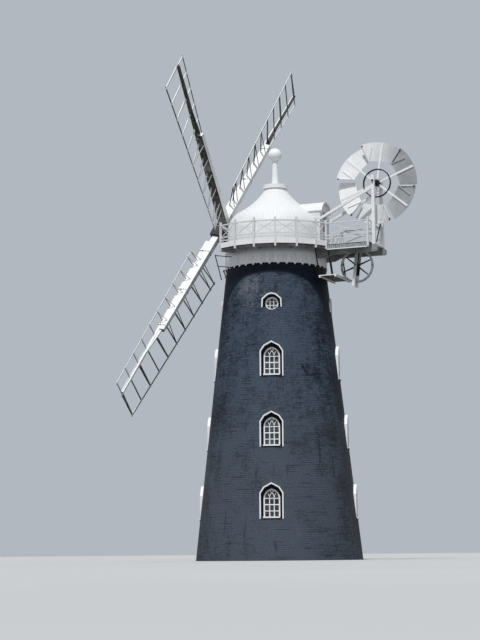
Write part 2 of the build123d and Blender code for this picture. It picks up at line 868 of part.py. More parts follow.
def build_hanging_posts():
    """Leaning posts that carry the chain wheel's axle, each held to its sheer by a trimmer."""
    hole = (Pos(wheel_distance, 0, wheel_height) * Rot(90, 0, 0)
            * Cylinder(wheel_axle_radius + running_gap, 4 * hanging_post_offset))
    reach = deck_underside - wheel_height
    length = 1.1 * reach + hanging_post_tail
    below_deck = Pos(wheel_distance, 0, deck_underside) * Box(
        far_reach, far_reach, far_reach, align=(Align.CENTER, Align.CENTER, Align.MAX))
    inner = hanging_post_offset + hanging_post_width / 2
    outer = sheer_offset - sheer_width / 2
    trimmer_x = wheel_distance + reach * tan(radians(hanging_post_angle))
    posts, plates = [], []
    for side in (-1, 1):
        post = (leaning(wheel_height) * Pos(0, side * hanging_post_offset, length / 2 - hanging_post_tail)
                * Box(hanging_post_width, hanging_post_width, length))
        trimmer = (Pos(trimmer_x, side * (inner + outer) / 2, deck_underside - trimmer_height / 2)
                   * Box(hanging_post_width, outer - inner, trimmer_height))
        posts.append(((post & below_deck) + trimmer) - hole)
        plate_y = hanging_post_offset - (hanging_post_width + axle_plate_thickness) / 2
        plate = (leaning(wheel_height) * Pos(0, side * plate_y, axle_plate_head - axle_plate_height / 2)
                 * Box(1.4 * hanging_post_width, axle_plate_thickness, axle_plate_height))
        plates.append(plate - hole)
    write_turned(posts, "hanging_posts")
    write_turned(plates, "axle_plates")


def build_platform():
    middle = platform_end - platform_length / 2
    near = platform_end - platform_length
    platform = (Pos(middle, 0, platform_level - platform_thickness / 2)
                * Box(platform_length, 2 * platform_half_width, platform_thickness))
    for x in (near + platform_beam_inset, platform_end - platform_beam_inset):
        platform += (Pos(x, 0, platform_level - platform_thickness - platform_beam / 2)
                     * Box(platform_beam, 2 * platform_half_width, platform_beam))
    write(turned(platform), "hanging_platform")
    rods = []
    rise = deck_underside - platform_level
    for side in (-1, 1):
        for x in (near + rod_near_inset, platform_end - rod_far_inset):
            foot = Pos(x, side * (platform_half_width - rod_near_inset)) * Circle(rod_radius)
            rods.append(extrude(Plane.XY.offset(platform_level) * foot, hypot(rod_lean, rise),
                                dir=(-rod_lean, 0, rise)))
    write_turned(rods, "platform_rods")


def build_bracket():
    """Two horizontal irons and a slanting one that stand off the petticoat."""
    head_drop, head_reach = bracket_arms[0]
    foot_drop, foot_reach = bracket_foot
    iron = bar_between((head_reach, 0, deck_level - head_drop + bracket_bar),
                       (foot_reach, 0, deck_level - foot_drop), bracket_bar, bracket_bar, up=(0, 1, 0))
    for drop, reach in bracket_arms:
        iron += (Pos(petticoat_radius, 0, deck_level - drop)
                 * Box(reach - petticoat_radius, bracket_bar, bracket_bar,
                       align=(Align.MIN, Align.CENTER, Align.CENTER)))
    iron -= ring(0, petticoat_radius, petticoat_foot, deck_underside)
    write(turned(Rot(0, 0, bracket_angle) * iron), "gallery_bracket")


# Windshaft and sails

def shaft_plane():
    """Centre of the sails: z points forward along the shaft, x up and y to the far side."""
    tilt = radians(shaft_tilt_angle)
    return Plane(origin=(-hub_forward, 0, hub_height), x_dir=(sin(tilt), 0, cos(tilt)),
                 z_dir=(-cos(tilt), 0, sin(tilt)))


def along_shaft(x):
    """Distance back along the shaft from the centre of the sails to a point over x."""
    return (x + hub_forward) / cos(radians(shaft_tilt_angle))


def stock_beam():
    """A stock with both arms, its front flat and its back and sides tapering to the ends."""
    front = stock_root_depth / 2
    side_view = Plane.XZ * outline(((-stock_half_length, front - stock_tip_depth), (0, -front),
                                    (stock_half_length, front - stock_tip_depth),
                                    (stock_half_length, front), (-stock_half_length, front)))
    plan = outline(((-stock_half_length, -stock_tip_width / 2), (0, -stock_root_width / 2),
                    (stock_half_length, -stock_tip_width / 2), (stock_half_length, stock_tip_width / 2),
                    (0, stock_root_width / 2), (-stock_half_length, stock_tip_width / 2)))
    thick = extrude(side_view, stock_root_width, both=True)
    return thick & extrude(plan, stock_root_depth, both=True)


def whip_beam():
    """A whip lying on z = 0, tapering in width and from the front in depth."""
    side_view = Plane.XZ * outline(((whip_root, 0), (sail_radius, 0), (sail_radius, whip_tip_depth),
                                    (whip_root, whip_root_depth)))
    plan = outline(((whip_root, -whip_root_width / 2), (sail_radius, -whip_tip_width / 2),
                    (sail_radius, whip_tip_width / 2), (whip_root, whip_root_width / 2)))
    thick = extrude(side_view, whip_root_width, both=True)
    return thick & extrude(plan, whip_root_depth)


def weather(radius):
    share = (radius - bar_radii[-1]) / (sail_radius - bar_radii[-1])
    return heel_weather_angle + (tip_weather_angle - heel_weather_angle) * share


def sail_point(radius, across):
    """A point of the sail's twisted surface; across is positive on the leading side."""
    angle = radians(weather(radius))
    return (radius, across * cos(angle), bar_plane + across * sin(angle))


def sail_bars():
    bars = []
    for radius in bar_radii:
        length = drive_width + lead_width + 2 * bar_overrun
        middle = (lead_width - drive_width) / 2
        bars.append(Pos(radius, 0, bar_plane) * Rot(weather(radius), 0, 0)
                    * Pos(0, middle, 0) * Box(bar_width, length, bar_thickness))
    return bars


def rail(across, size):
    start = sail_point(bar_radii[-1], across)
    end = sail_point(sail_radius, across)
    way = (Vector(*end) - Vector(*start)).normalized() * bar_overrun
    mean = radians((heel_weather_angle + tip_weather_angle) / 2)
    return bar_between(Vector(*start) - way, Vector(*end) + way, size[0], size[1],
                       up=(0, cos(mean), sin(mean)))


def sail_stays(across):
    stays = []
    for radius in bar_radii:
        if radius > stock_half_length:
            continue
        start = sail_point(radius, across)
        side = 1 if across > 0 else -1
        anchor = (radius, side * stock_tip_width / 4, -stock_tip_depth + stay_size)
        stays.append(bar_between(start, anchor, stay_size, stay_size, up=(1, 0, 0)))
    return stays


def build_sails(cap_frame):
    shaft = shaft_plane()
    stock = Pos(0, 0, -stock_root_depth / 2) * stock_beam()
    whip = whip_beam()
    bars = sail_bars()
    lattice = bars[0]
    for piece in bars[1:] + [rail(-drive_width, hemlath_size), rail(lead_width, lead_rail_size)]:
        lattice += piece
    for stay in sail_stays(-drive_width) + sail_stays(lead_width):
        lattice += stay
    lattice -= stock
    for bar in bars:
        whip -= bar
    straps = []
    for position in strap_positions:
        depth = stock_root_depth + whip_root_depth + 2 * strap_thickness
        slab = (Pos(position, 0, (whip_root_depth - stock_root_depth) / 2)
                * Box(strap_width, stock_root_width + 2 * strap_thickness, depth))
        reach = position / stock_half_length
        half = (stock_root_width + (stock_tip_width - stock_root_width) * reach) / 2 + strap_thickness
        taper = stock_root_depth + (stock_tip_depth - stock_root_depth) * reach + strap_thickness
        whip_share = (position - whip_root) / (sail_radius - whip_root)
        front = whip_root_depth + (whip_tip_depth - whip_root_depth) * whip_share + strap_thickness
        slab = Pos(position, 0, (front - taper) / 2) * Box(strap_width, 2 * half, front + taper)
        straps.append(slab - stock - whip)
    placed_straps, placed_whips = [], []
    whip_back = whip_root_depth / 2
    canister = Pos(0, 0, (canister_front - canister_back) / 2) * Box(
        2 * canister_half_width, 2 * canister_half_width, canister_front + canister_back)
    canister = Rot(0, 0, first_sail_angle) * canister
    for index in range(4):
        level = stock_spacing / 2 if index % 2 == 0 else -stock_spacing / 2
        place = shaft * Rot(0, 0, first_sail_angle + 90 * index) * Pos(0, 0, level - whip_back)
        write(turned(place * lattice), f"sail_frame_{index + 1}")
        placed_whips.append(place * whip)
        placed_straps += [place * strap for strap in straps]
        if index < 2:
            name = "outer_stock" if level > 0 else "inner_stock"
            write(turned(place * stock), name)
            canister -= Rot(0, 0, first_sail_angle + 90 * index) * Pos(0, 0, level - whip_back) * stock
    write_turned(placed_whips, "sail_whips")
    write_turned(placed_straps, "sail_straps")
    build_windshaft(canister, cap_frame)


def build_windshaft(canister, cap_frame):
    """Cast poll end, round neck and tapering shaft down to the tail bearing."""
    neck = along_shaft(-neck_forward)
    tail = along_shaft(tail_backward)
    collar_end = canister_back + canister_collar
    edges = [(0, -canister_back), (1.5 * neck_radius, -canister_back), (1.5 * neck_radius, -collar_end),
             (neck_radius, -collar_end), (neck_radius, -neck - neck_radius),
             (tail_radius, -tail + tail_radius), (tail_radius, -tail - 2 * tail_radius),
             (0, -tail - 2 * tail_radius)]
    shaft = revolve(Plane.XZ * outline(edges), Axis.Z)
    write(turned(shaft_plane() * (canister + shaft)), "windshaft")
    bearings = []
    for distance, radius in ((neck, neck_radius), (tail, tail_radius)):
        length = bearing_length * (0.5 + radius / neck_radius / 2)
        block = Pos(-0.7 * radius, 0, -distance) * Box(1.4 * radius, 2.6 * radius, length)
        block -= Pos(0, 0, -distance) * Cylinder(radius + running_gap, 2 * length)
        bearings.append(shaft_plane() * block - cap_frame)
    write_turned(bearings, "shaft_bearings")


# Fantail

def fan_place():
    """The fan's axle: z lies across the cap, x up, y forward or back."""
    return Plane(origin=(fan_distance, 0, fan_height), x_dir=(1, 0, 0), z_dir=(0, -1, 0))


def fan_vane():
    """One vane on its arm's line: a wide sheet set at a pitch, with a batten on its near face."""
    mid_tip = (fan_radius, 0)
    lead_tip = (vane_corner, vane_lead_half_width)
    trail_tip = (vane_corner, -vane_trail_half_width)
    lead_root = (vane_root, vane_root_half_width)
    trail_root = (vane_root, -vane_root_half_width)
    blade = make_face([Line(lead_root, lead_tip), ThreePointArc(lead_tip, mid_tip, trail_tip),
                       Line(trail_tip, trail_root),
                       ThreePointArc(trail_root, (vane_root + vane_root_bulge, 0), lead_root)])
    sheet = extrude(blade, vane_thickness / 2, both=True)
    level = (vane_thickness + batten_thickness) / 2
    batten = bar_between((*lead_root, level), (vane_corner, vane_lead_half_width / 2, level),
                         batten_width, batten_thickness)
    batten &= extrude(blade, batten_thickness + vane_thickness)
    return Rot(vane_pitch_angle, 0, 0) * (sheet + batten)


def build_fan():
    """Axle with its hub, six arms through the vanes, and an iron ring on each side of the arms."""
    place = fan_place()
    span = 2 * (sheer_offset + fan_post_width)
    axle = Cylinder(fan_shaft_radius, span) + Cylinder(fan_hub_radius, fan_hub_width)
    vane = fan_vane()
    hub_space = Cylinder(fan_hub_radius, 2 * fan_hub_width)
    arms, vanes = [], []
    for k in range(fan_arm_count):
        turn = Rot(0, 0, fan_first_angle + 360 / fan_arm_count * k)
        arm = Box(fan_radius - fan_arm_end, fan_arm_width, fan_arm_thickness,
                  align=(Align.MIN, Align.CENTER, Align.CENTER))
        arms.append(place * turn * (arm - hub_space))
        vanes.append(place * turn * (vane - arm))
    rings = [place * Pos(0, 0, side * (fan_arm_thickness + fan_ring_thickness) / 2)
             * (Cylinder(fan_ring_radius, fan_ring_thickness)
                - Cylinder(fan_ring_radius - fan_ring_width, fan_ring_thickness)) for side in (-1, 1)]
    write(turned(place * axle), "fan_axle")
    write_turned(arms, "fan_arms")
    write_turned(vanes, "fan_vanes")
    write_turned(rings, "fan_ring")


def build_chain_wheel():
    place = Plane(origin=(wheel_distance, 0, wheel_height), x_dir=(1, 0, 0), z_dir=(0, -1, 0))
    wheel = (Cylinder(wheel_radius, wheel_rim_width)
             - Cylinder(wheel_radius - wheel_rim_depth, wheel_rim_width))
    wheel += Cylinder(wheel_hub_radius, 2 * wheel_rim_width)
    for k in range(wheel_spoke_count):
        turn = Rot(0, 0, fan_first_angle + 360 / wheel_spoke_count * k)
        wheel += turn * Box(wheel_radius - wheel_rim_depth / 2, wheel_spoke_size, wheel_spoke_size,
                            align=(Align.MIN, Align.CENTER, Align.CENTER))
    wheel += Cylinder(wheel_axle_radius, 2 * hanging_post_offset + 2 * hanging_post_width)
    write(turned(place * wheel), "chain_wheel")


build_tower()
build_cap_body()
build_finial()
cap_frame = build_cap_frame()
build_gallery()
build_petticoat()
build_stage()
build_iron_braces(build_fan_supports())
build_hanging_posts()
build_platform()
build_bracket()
build_sails(cap_frame)
build_fan()
build_chain_wheel()
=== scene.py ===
"""The finishes, brick courses, glazing and small work of a tarred brick tower mill, in metres."""
import random
from math import asin, ceil, cos, hypot, pi, radians, sin, sqrt

import bpy
from mathutils import Matrix, Vector


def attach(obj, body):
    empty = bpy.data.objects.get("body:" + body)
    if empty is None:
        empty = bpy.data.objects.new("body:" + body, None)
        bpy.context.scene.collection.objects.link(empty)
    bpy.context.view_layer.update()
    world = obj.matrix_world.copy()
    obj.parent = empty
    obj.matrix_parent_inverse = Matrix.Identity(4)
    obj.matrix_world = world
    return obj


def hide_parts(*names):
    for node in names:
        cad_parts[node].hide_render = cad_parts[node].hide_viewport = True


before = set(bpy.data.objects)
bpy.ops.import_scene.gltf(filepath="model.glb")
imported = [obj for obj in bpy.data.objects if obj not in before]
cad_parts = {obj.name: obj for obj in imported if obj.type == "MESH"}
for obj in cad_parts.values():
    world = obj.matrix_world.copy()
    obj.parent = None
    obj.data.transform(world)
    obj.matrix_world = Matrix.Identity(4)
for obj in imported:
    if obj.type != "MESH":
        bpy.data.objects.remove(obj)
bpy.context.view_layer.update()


# The tower is a round, tapering shell of brick. Its joints and reveals are brushed with the same
# black tar as the bricks, which sun and rain have worn to a streaky slate blue.
def add(tree, kind, wires=(), **settings):
    """One shader node; each wire is an input's name or number with a value or another's output."""
    made = tree.nodes.new("ShaderNode" + kind)
    for setting, value in settings.items():
        setattr(made, setting, value)
    for socket, value in dict(wires).items():
        if isinstance(value, bpy.types.NodeSocket):
            tree.links.new(value, made.inputs[socket])
        else:
            made.inputs[socket].default_value = value
    return made


def work_out(tree, operation, *values):
    return add(tree, "Math", enumerate(values), operation=operation).outputs[0]


def plus(tree, first, *others):
    for other in others:
        first = work_out(tree, "ADD", first, other)
    return first


def times(tree, first, *others):
    for other in others:
        first = work_out(tree, "MULTIPLY", first, other)
    return first


def axes(tree, place):
    return list(add(tree, "SeparateXYZ", {0: place}).outputs)


def cloud(tree, place, scale, detail=4.0, roughness=0.55, stretch=(1, 1, 1)):
    """Uneven patches; a stretch below 1 draws them out along that axis."""
    drawn = add(tree, "VectorMath", {0: place, 1: stretch}, operation="MULTIPLY").outputs[0]
    return add(tree, "TexNoise", {"Vector": drawn, "Scale": scale, "Detail": detail,
                                  "Roughness": roughness}).outputs["Fac"]


def fade(tree, value, low, high, to_low=0.0, to_high=1.0):
    return add(tree, "MapRange", {0: value, 1: low, 2: high, 3: to_low, 4: to_high},
               interpolation_type="SMOOTHSTEP").outputs[0]


def blend(tree, share, under, over):
    return add(tree, "Mix", {0: share, 6: under, 7: over}, data_type="RGBA").outputs[2]


def new_finish(name, roughness=0.5, specular=0.5):
    """A material, its node tree, its shader and a place that stays with the piece."""
    material = bpy.data.materials.new(name)
    material.use_nodes = True
    tree = material.node_tree
    shader = tree.nodes["Principled BSDF"]
    shader.inputs["Roughness"].default_value = roughness
    shader.inputs["Specular IOR Level"].default_value = specular
    return material, tree, shader, add(tree, "TexCoord").outputs["Object"]


def wire_up(tree, shader, colour, height=None, depth=0.002, roughness=None):
    tree.links.new(colour, shader.inputs["Base Color"])
    if height is not None:
        relief = add(tree, "Bump", {"Height": height, "Distance": depth, "Strength": 1.0})
        tree.links.new(relief.outputs[0], shader.inputs["Normal"])
    if roughness is not None:
        tree.links.new(roughness, shader.inputs["Roughness"])


def dress(material, *nodes):
    for node in nodes:
        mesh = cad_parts[node].data
        mesh.materials.clear()
        mesh.materials.append(material)


def tarred(name, tar, worn, black=(0.0025, 0.0035, 0.006, 1)):
    """Tar on brickwork: painted light on the sunward side, black in the reveals, painted shadow below the
    cap.
    """
    material, tree, shader, place = new_finish(name, specular=0.22)
    x, y, z = axes(tree, place)
    radius = work_out(tree, "SQRT", plus(tree, times(tree, x, x), times(tree, y, y)))
    # The tar is painted lighter toward the sun and darker away from it: painted light and shade.
    exposed = plus(tree, times(tree, x, sunward_way[0]), times(tree, y, sunward_way[1]))
    sunward = work_out(tree, "DIVIDE", exposed, radius)
    patches = cloud(tree, place, 0.75, 5.0, 0.62)
    streaks = cloud(tree, place, 1.0, 4.0, 0.6, (3.2, 3.2, 0.24))
    mottle = cloud(tree, place, 9.0, 6.0, 0.72, (1, 1, 1.6))
    own = add(tree, "Attribute", attribute_name="brick_tone").outputs["Fac"]
    wear = plus(tree, times(tree, patches, 1.05), times(tree, streaks, 0.50), times(tree, mottle, 0.52),
                times(tree, own, 0.30), times(tree, sunward, 0.52), fade(tree, z, 7.0, 3.0, 0.0, 0.10))
    colour = blend(tree, fade(tree, wear, 1.17, 1.72), tar, worn)

    # Pale flakes near the head, dust on the lower courses, black bed joints and runs of tar.
    scar = add(tree, "VectorMath", {0: place, 1: flaked_place}, operation="DISTANCE").outputs["Value"]
    near_scar = fade(tree, scar, 1.15, 0.3, 1.0, 1.5)
    flaked = times(tree, cloud(tree, place, 1.7, 6.0, 0.74), mottle, near_scar)
    colour = blend(tree, fade(tree, flaked, 0.31, 0.47, 0.0, 0.8), colour, (0.150, 0.160, 0.180, 1))
    colour = blend(tree, fade(tree, z, 9.0, 3.0, 0.0, 0.30), colour, (0.098, 0.101, 0.102, 1))
    beds = fade(tree, cloud(tree, place, 1.5, 4.0, 0.6, (0.6, 0.6, 15)), 0.58, 0.68, 0.0, 0.7)
    runs = fade(tree, cloud(tree, place, 1.9, 3.0, 0.5, (2.6, 2.6, 0.16)), 0.62, 0.72, 0.0, 0.45)
    colour = blend(tree, work_out(tree, "MAXIMUM", beds, runs), colour, black)

    # Below the cap the head of the wall is painted black as the gallery's shadow, lower at the sides than
    # in front.
    aside = work_out(tree, "DIVIDE", times(tree, x, x), times(tree, radius, radius))
    shadow_line = plus(tree, z, times(tree, aside, 0.63), times(tree, aside, aside, aside, 1.7))
    painted_shadow = fade(tree, shadow_line, *shadow_levels, 0.0, 0.93)
    colour = blend(tree, painted_shadow, colour, (0.0010, 0.0055, 0.0145, 1))
    face = plus(tree, times(tree, z, (head_radius - foot_radius) / head_height), foot_radius)
    sunk = fade(tree, work_out(tree, "SUBTRACT", face, radius), 0.02, 0.04)
    colour = blend(tree, sunk, colour, black)
    grit = cloud(tree, place, 120.0, 4.0, 0.7)
    wire_up(tree, shader, colour, plus(tree, grit, times(tree, mottle, 1.5)), 0.003,
            fade(tree, mottle, 0.3, 0.7, 0.55, 0.8))
    return material


foot_radius = 3.6
head_radius = 2.16
head_height = 12.85
sunward_way = (-0.06, -0.86)
flaked_place = (-0.87, -2.15, 11.45)
shadow_levels = (12.20, 12.34)
walls = ("wall_right", "wall_back_right", "wall_back", "wall_back_left",
         "wall_left", "wall_front_left", "wall_front", "wall_front_right")
dress(tarred("tarred_mortar", (0.004, 0.007, 0.013, 1), (0.020, 0.029, 0.046, 1)), *walls)


# The bricks are laid in English bond, a course of headers over each course of stretchers. Their
# tarred faces stand a few millimetres proud of the joints and are cut to fit round each opening.
course_height = 0.075
brick_pitch = 0.225
mortar_joint = 0.010
brick_proud = 0.004
brick_bed = 0.014
brick_uneven = 0.0012
top_margin = 0.04
cut_step = 0.02
least_width = 0.004
least_height = 0.002
gothic_sills = (1.75, 4.75, 7.75)
gothic_crown = ((0, 1.470), (0.335, 1.290), (0.500, 1.040))
sill_drop = 0.07
round_centre = 10.86
round_reveal = 0.285
round_crown = ((0, 0.464), (0.190, 0.410), (0.420, 0.210), (0.440, -0.170))
round_leg = 0.17
leg_meets_reveal = 0.229
door_half = 0.52
door_head = 2.08
door_arch_radius = 1.105
door_arch_centre = 1.105
arch_brick = 0.215


def wall_radius(level):
    return foot_radius + (head_radius - foot_radius) * level / head_height


def along(points, x):
    """Height of a line drawn from the crown outwards, at a distance from the middle."""
    for (x0, z0), (x1, z1) in zip(points, points[1:]):
        if x <= x1:
            return z0 + (z1 - z0) * (x - x0) / (x1 - x0)
    return points[-1][1]


class Opening:
    """What a hood, a light or a door takes out of the brick face, either side of its middle."""

    def __init__(self, half, edges, foot, top):
        self.half, self.edges, self.foot, self.top = half, edges, foot, top


def gothic_opening(sill):
    return Opening(gothic_crown[-1][0], (gothic_crown[1][0],), lambda x: sill - sill_drop,
                   lambda x: sill + along(gothic_crown, x))


def round_opening():
    return Opening(round_crown[-1][0], (round_crown[1][0], round_crown[2][0], leg_meets_reveal),
                   lambda x: round_centre - max(round_leg, sqrt(max(0, round_reveal ** 2 - x * x))),
                   lambda x: round_centre + along(round_crown, x))


def door_opening():
    outer = door_arch_radius + arch_brick
    skew = door_half * outer / door_arch_radius
    slope = sqrt(door_arch_radius ** 2 - door_half ** 2) / door_half
    return Opening(skew, (door_half,),
                   lambda x: -1 if x <= door_half else door_head + (x - door_half) * slope,
                   lambda x: door_arch_centre + sqrt(outer ** 2 - x * x))


def faces_left(start, end, low, high, openings):
    """The outlines that are left of one brick's face beside, over and under the openings."""
    for opening in openings:
        top = opening.top(0)
        if high <= opening.foot(0) or low >= top or end <= -opening.half or start >= opening.half:
            continue
        cuts = {start, end, -opening.half, opening.half, 0}
        cuts |= {side * edge for edge in opening.edges for side in (-1, 1)}
        cuts |= {-opening.half + cut_step * k for k in range(int(2 * opening.half / cut_step))}
        columns = sorted(x for x in cuts if start <= x <= end)
        inside = [x for x in columns if abs(x) <= opening.half]
        left = []
        for a, b in ((start, min(end, -opening.half)), (max(start, opening.half), end)):
            if b - a > least_width:
                left.append([(a, low), (b, low), (b, high), (a, high)])
        for lower, upper in ((lambda x: max(low, opening.top(abs(x))), lambda x: high),
                             (lambda x: low, lambda x: min(high, opening.foot(abs(x) - 1e-6)))):
            run = [x for x in inside if upper(x) - lower(x) > least_height]
            if len(run) > 1:
                left.append([(x, lower(x)) for x in run] + [(x, upper(x)) for x in reversed(run)])
        return left
    return [[(start, low), (end, low), (end, high), (start, high)]]


def add_prism(verts, faces, front, back):
    """A closed block between two matching outlines; front goes round the way it is seen."""
    count, first = len(front), len(verts)
    verts += front
    verts += back
    faces.append(tuple(range(first, first + count)))
    faces.append(tuple(range(first + 2 * count - 1, first + count - 1, -1)))
    for k in range(count):
        n = (k + 1) % count
        faces.append((first + n, first + k, first + count + k, first + count + n))


def new_piece(name, verts, faces, material, body):
    mesh = bpy.data.meshes.new(name)
    mesh.from_pydata([tuple(v) for v in verts], [], faces)
    mesh.materials.append(material)
    mesh.update()
    made = bpy.data.objects.new(name, mesh)
    bpy.context.scene.collection.objects.link(made)
    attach(made, body)
    return made


def on_wall(angle, x, level, proud):
    """A point of the wall's face, at a distance to the right of a column's middle."""
    radius = wall_radius(level) + proud
    return Matrix.Rotation(angle + pi / 2, 3, "Z") @ Vector((x, -sqrt(radius ** 2 - x * x), level))


tarred_brick = tarred("tarred_brick", (0.005, 0.009, 0.019, 1), (0.064, 0.087, 0.130, 1))
rng = random.Random(41)
brick_verts = {wall: [] for wall in walls}
brick_faces = {wall: [] for wall in walls}
brick_tones = {wall: [] for wall in walls}
for course in range(ceil((head_height - top_margin) / course_height) - 1):
    low = course * course_height + mortar_joint / 2
    high = low + course_height - mortar_joint
    radius = wall_radius((low + high) / 2)
    pitch = brick_pitch if course % 2 else brick_pitch / 2
    count = round(2 * pi * radius / pitch)
    for k in range(count):
        middle = 2 * pi * (k + (0.25 if course % 4 == 3 else 0.75 if course % 2 else 0)) / count
        segment = round(middle / (pi / 4)) % 8
        wall = walls[segment]
        openings = []
        if segment % 2 == 0:
            openings = [gothic_opening(sill) for sill in gothic_sills] + [round_opening()]
            if wall == "wall_back":
                openings[0] = door_opening()
        aside = middle - segment * pi / 4
        aside -= 2 * pi * round(aside / (2 * pi))
        half = pi / count - mortar_joint / 2 / radius
        start, end = radius * sin(aside - half), radius * sin(aside + half)
        proud = brick_proud + rng.uniform(-brick_uneven, brick_uneven)
        tone = rng.betavariate(1.6, 2.4)
        for outline in faces_left(start, end, low, high, openings):
            before = len(brick_faces[wall])
            turn = segment * pi / 4
            add_prism(brick_verts[wall], brick_faces[wall],
                      [on_wall(turn, x, z, proud) for x, z in outline],
                      [on_wall(turn, x, z, -brick_bed) for x, z in outline])
            brick_tones[wall] += [tone] * (len(brick_faces[wall]) - before)
for wall in walls:
    bricks = new_piece(wall + "_bricks", brick_verts[wall], brick_faces[wall],
                       tarred_brick, "tower")
    tones = bricks.data.attributes.new("brick_tone", "FLOAT", "FACE")
    tones.data.foreach_set("value", brick_tones[wall])


# Over the doorway a ring of bricks on edge carries the wall. Each is a stretcher set upright,
# cut to a slight wedge and tarred over with the rest.
arch_count = 15
arch_joint = 0.06
arch_verts, arch_faces = [], []
arch_end = asin(door_half / door_arch_radius)
for k in range(arch_count):
    step = 2 * arch_end / arch_count
    sides = [-arch_end + step * (k + share) for share in (arch_joint, 1 - arch_joint)]
    radii = (door_arch_radius + brick_proud, door_arch_radius + arch_brick - mortar_joint)
    outline = [(r * sin(a), door_arch_centre + r * cos(a)) for r, a in
               ((radii[0], sides[0]), (radii[0], sides[1]), (radii[1], sides[1]), (radii[1], sides[0]))]
    add_prism(arch_verts, arch_faces, [on_wall(pi / 2, x, z, brick_proud) for x, z in outline],
              [on_wall(pi / 2, x, z, -brick_bed) for x, z in outline])
new_piece("door_arch", arch_verts, arch_faces, tarred_brick, "tower")


# Every window is a white painted frame let into the reveal, under a white hood of rendered brick.
# Three lights divide each pointed one, and their bars cross in the head as a simple tracery.
def painted(name, paint=(0.80, 0.81, 0.80, 1), grime=(0.36, 0.37, 0.35, 1), amount=0.6,
            grain=(1, 1, 0.12), roughness=0.42):
    """Oil paint on wood or plaster: brush marks along the grain, rain streaks and thin spots."""
    material, tree, shader, place = new_finish(name, specular=0.35)
    brush = cloud(tree, place, 26.0, 4.0, 0.6, grain)
    slow = cloud(tree, place, 1.3, 4.0, 0.6, (1.6, 1.6, 0.6))
    spots = cloud(tree, place, 6.5, 8.0, 0.72)
    dirt = times(tree, fade(tree, slow, 0.38, 0.72), fade(tree, spots, 0.42, 0.66))
    dirt = plus(tree, dirt, times(tree, fade(tree, brush, 0.45, 0.85), 0.22))
    colour = blend(tree, times(tree, dirt, amount), paint, grime)
    wire_up(tree, shader, colour, brush, 0.0008, fade(tree, spots, 0.3, 0.7, roughness, roughness + 0.2))
    return material


white_plaster = painted("white_plaster", (0.92, 0.925, 0.93, 1), (0.40, 0.41, 0.42, 1), 0.25,
                        (1, 1, 1), 0.6)
white_joinery = painted("white_joinery", (0.88, 0.885, 0.89, 1), amount=0.25)
dress(white_plaster, "window_hoods")
dress(white_joinery, "window_frames")

window_columns = {"wall_right": 0, "wall_back": pi / 2, "wall_left": pi, "wall_front": -pi / 2}
frame_board = 0.06
gothic_half = 0.35
gothic_arc = 0.4093
light_half = gothic_half - frame_board
light_spring = 0.81
light_arc = gothic_arc - frame_board
arc_centre = gothic_arc - gothic_half
frame_back = 0.24
bar_lap = 0.01
round_bar = 0.08
mullion_half = 0.022
bar_half = 0.017
tracery_half = 0.014
bar_near = 0.018
bar_far = 0.056


def window_plane(angle, level, face_level):
    """Turns (x, height, proud) in the plane of a window frame's back into a point of the tower."""
    face = wall_radius(face_level) - frame_back
    turn = Matrix.Rotation(angle + pi / 2, 3, "Z")
    return lambda x, z, proud: turn @ Vector((x, -face - proud, level + z))


def sweep(verts, faces, path, half, near, far, place, closed=False):
    """A bar with chamfered outer edges, drawn along a path in a window's plane."""
    cut = 0.6 * half
    section = ((-half, near), (-half, far - cut), (cut - half, far),
               (half - cut, far), (half, far - cut), (half, near))
    first, count = len(verts), len(path)
    for k, (x, z) in enumerate(path):
        ahead = path[(k + 1) % count] if closed or k + 1 < count else path[k]
        behind = path[k - 1] if closed or k else path[k]
        way = Vector((ahead[0] - behind[0], ahead[1] - behind[1])).normalized()
        verts += [place(x + way.y * across, z - way.x * across, proud) for across, proud in section]
    size = len(section)
    for k in range(count if closed else count - 1):
        for s in range(size):
            near_ring, far_ring = first + k * size, first + (k + 1) % count * size
            n = (s + 1) % size
            faces.append((near_ring + s, near_ring + n, far_ring + n, far_ring + s))
    if not closed:
        faces.append(tuple(first + s for s in range(size - 1, -1, -1)))
        faces.append(tuple(first + (count - 1) * size + s for s in range(size)))


def tracery_arc(start, side, steps=14):
    """An arc that leaves a mullion's head and leans over to the far side of the frame."""
    centre = start + side * light_arc
    points = []
    for k in range(steps + 1):
        turn = pi / 2 * k / steps
        x = centre - side * light_arc * cos(turn)
        z = light_spring + light_arc * sin(turn)
        if hypot(x + side * arc_centre, z - light_spring) > light_arc + 0.004:
            break
        points.append((x, z))
    return points


bar_verts, bar_faces = [], []
for wall, angle in window_columns.items():
    sills = gothic_sills[1:] if wall == "wall_back" else gothic_sills
    for sill in sills:
        place = window_plane(angle, sill, sill + 0.45)
        lap = light_half + bar_lap
        parts = [([(x, frame_board - bar_lap), (x, light_spring)], mullion_half)
                 for x in (-light_half / 3, light_half / 3)]
        for share, half in ((1 / 3, bar_half), (2 / 3, 1.4 * bar_half), (1, bar_half)):
            z = frame_board / 2 + (light_spring - frame_board / 2) * share
            parts.append(([(-lap, z), (lap, z)], half))
        for start in (-light_half / 3, light_half / 3):
            parts += [(tracery_arc(start, side), tracery_half) for side in (-1, 1)]
        for path, half in parts:
            far = bar_far - 0.1 * (mullion_half - half)
            sweep(bar_verts, bar_faces, path, half, bar_near, far, place)
    place = window_plane(angle, round_centre, round_centre)
    for aside in (-round_bar, round_bar):
        span = sqrt((round_reveal - frame_board) ** 2 - aside ** 2) + 0.006
        upright, level_bar = [(aside, -span), (aside, span)], [(-span, aside), (span, aside)]
        sweep(bar_verts, bar_faces, upright, bar_half, bar_near, bar_far, place)
        sweep(bar_verts, bar_faces, level_bar, bar_half, bar_near, bar_far - 0.001, place)
new_piece("window_bars", bar_verts, bar_faces, white_joinery, "tower")
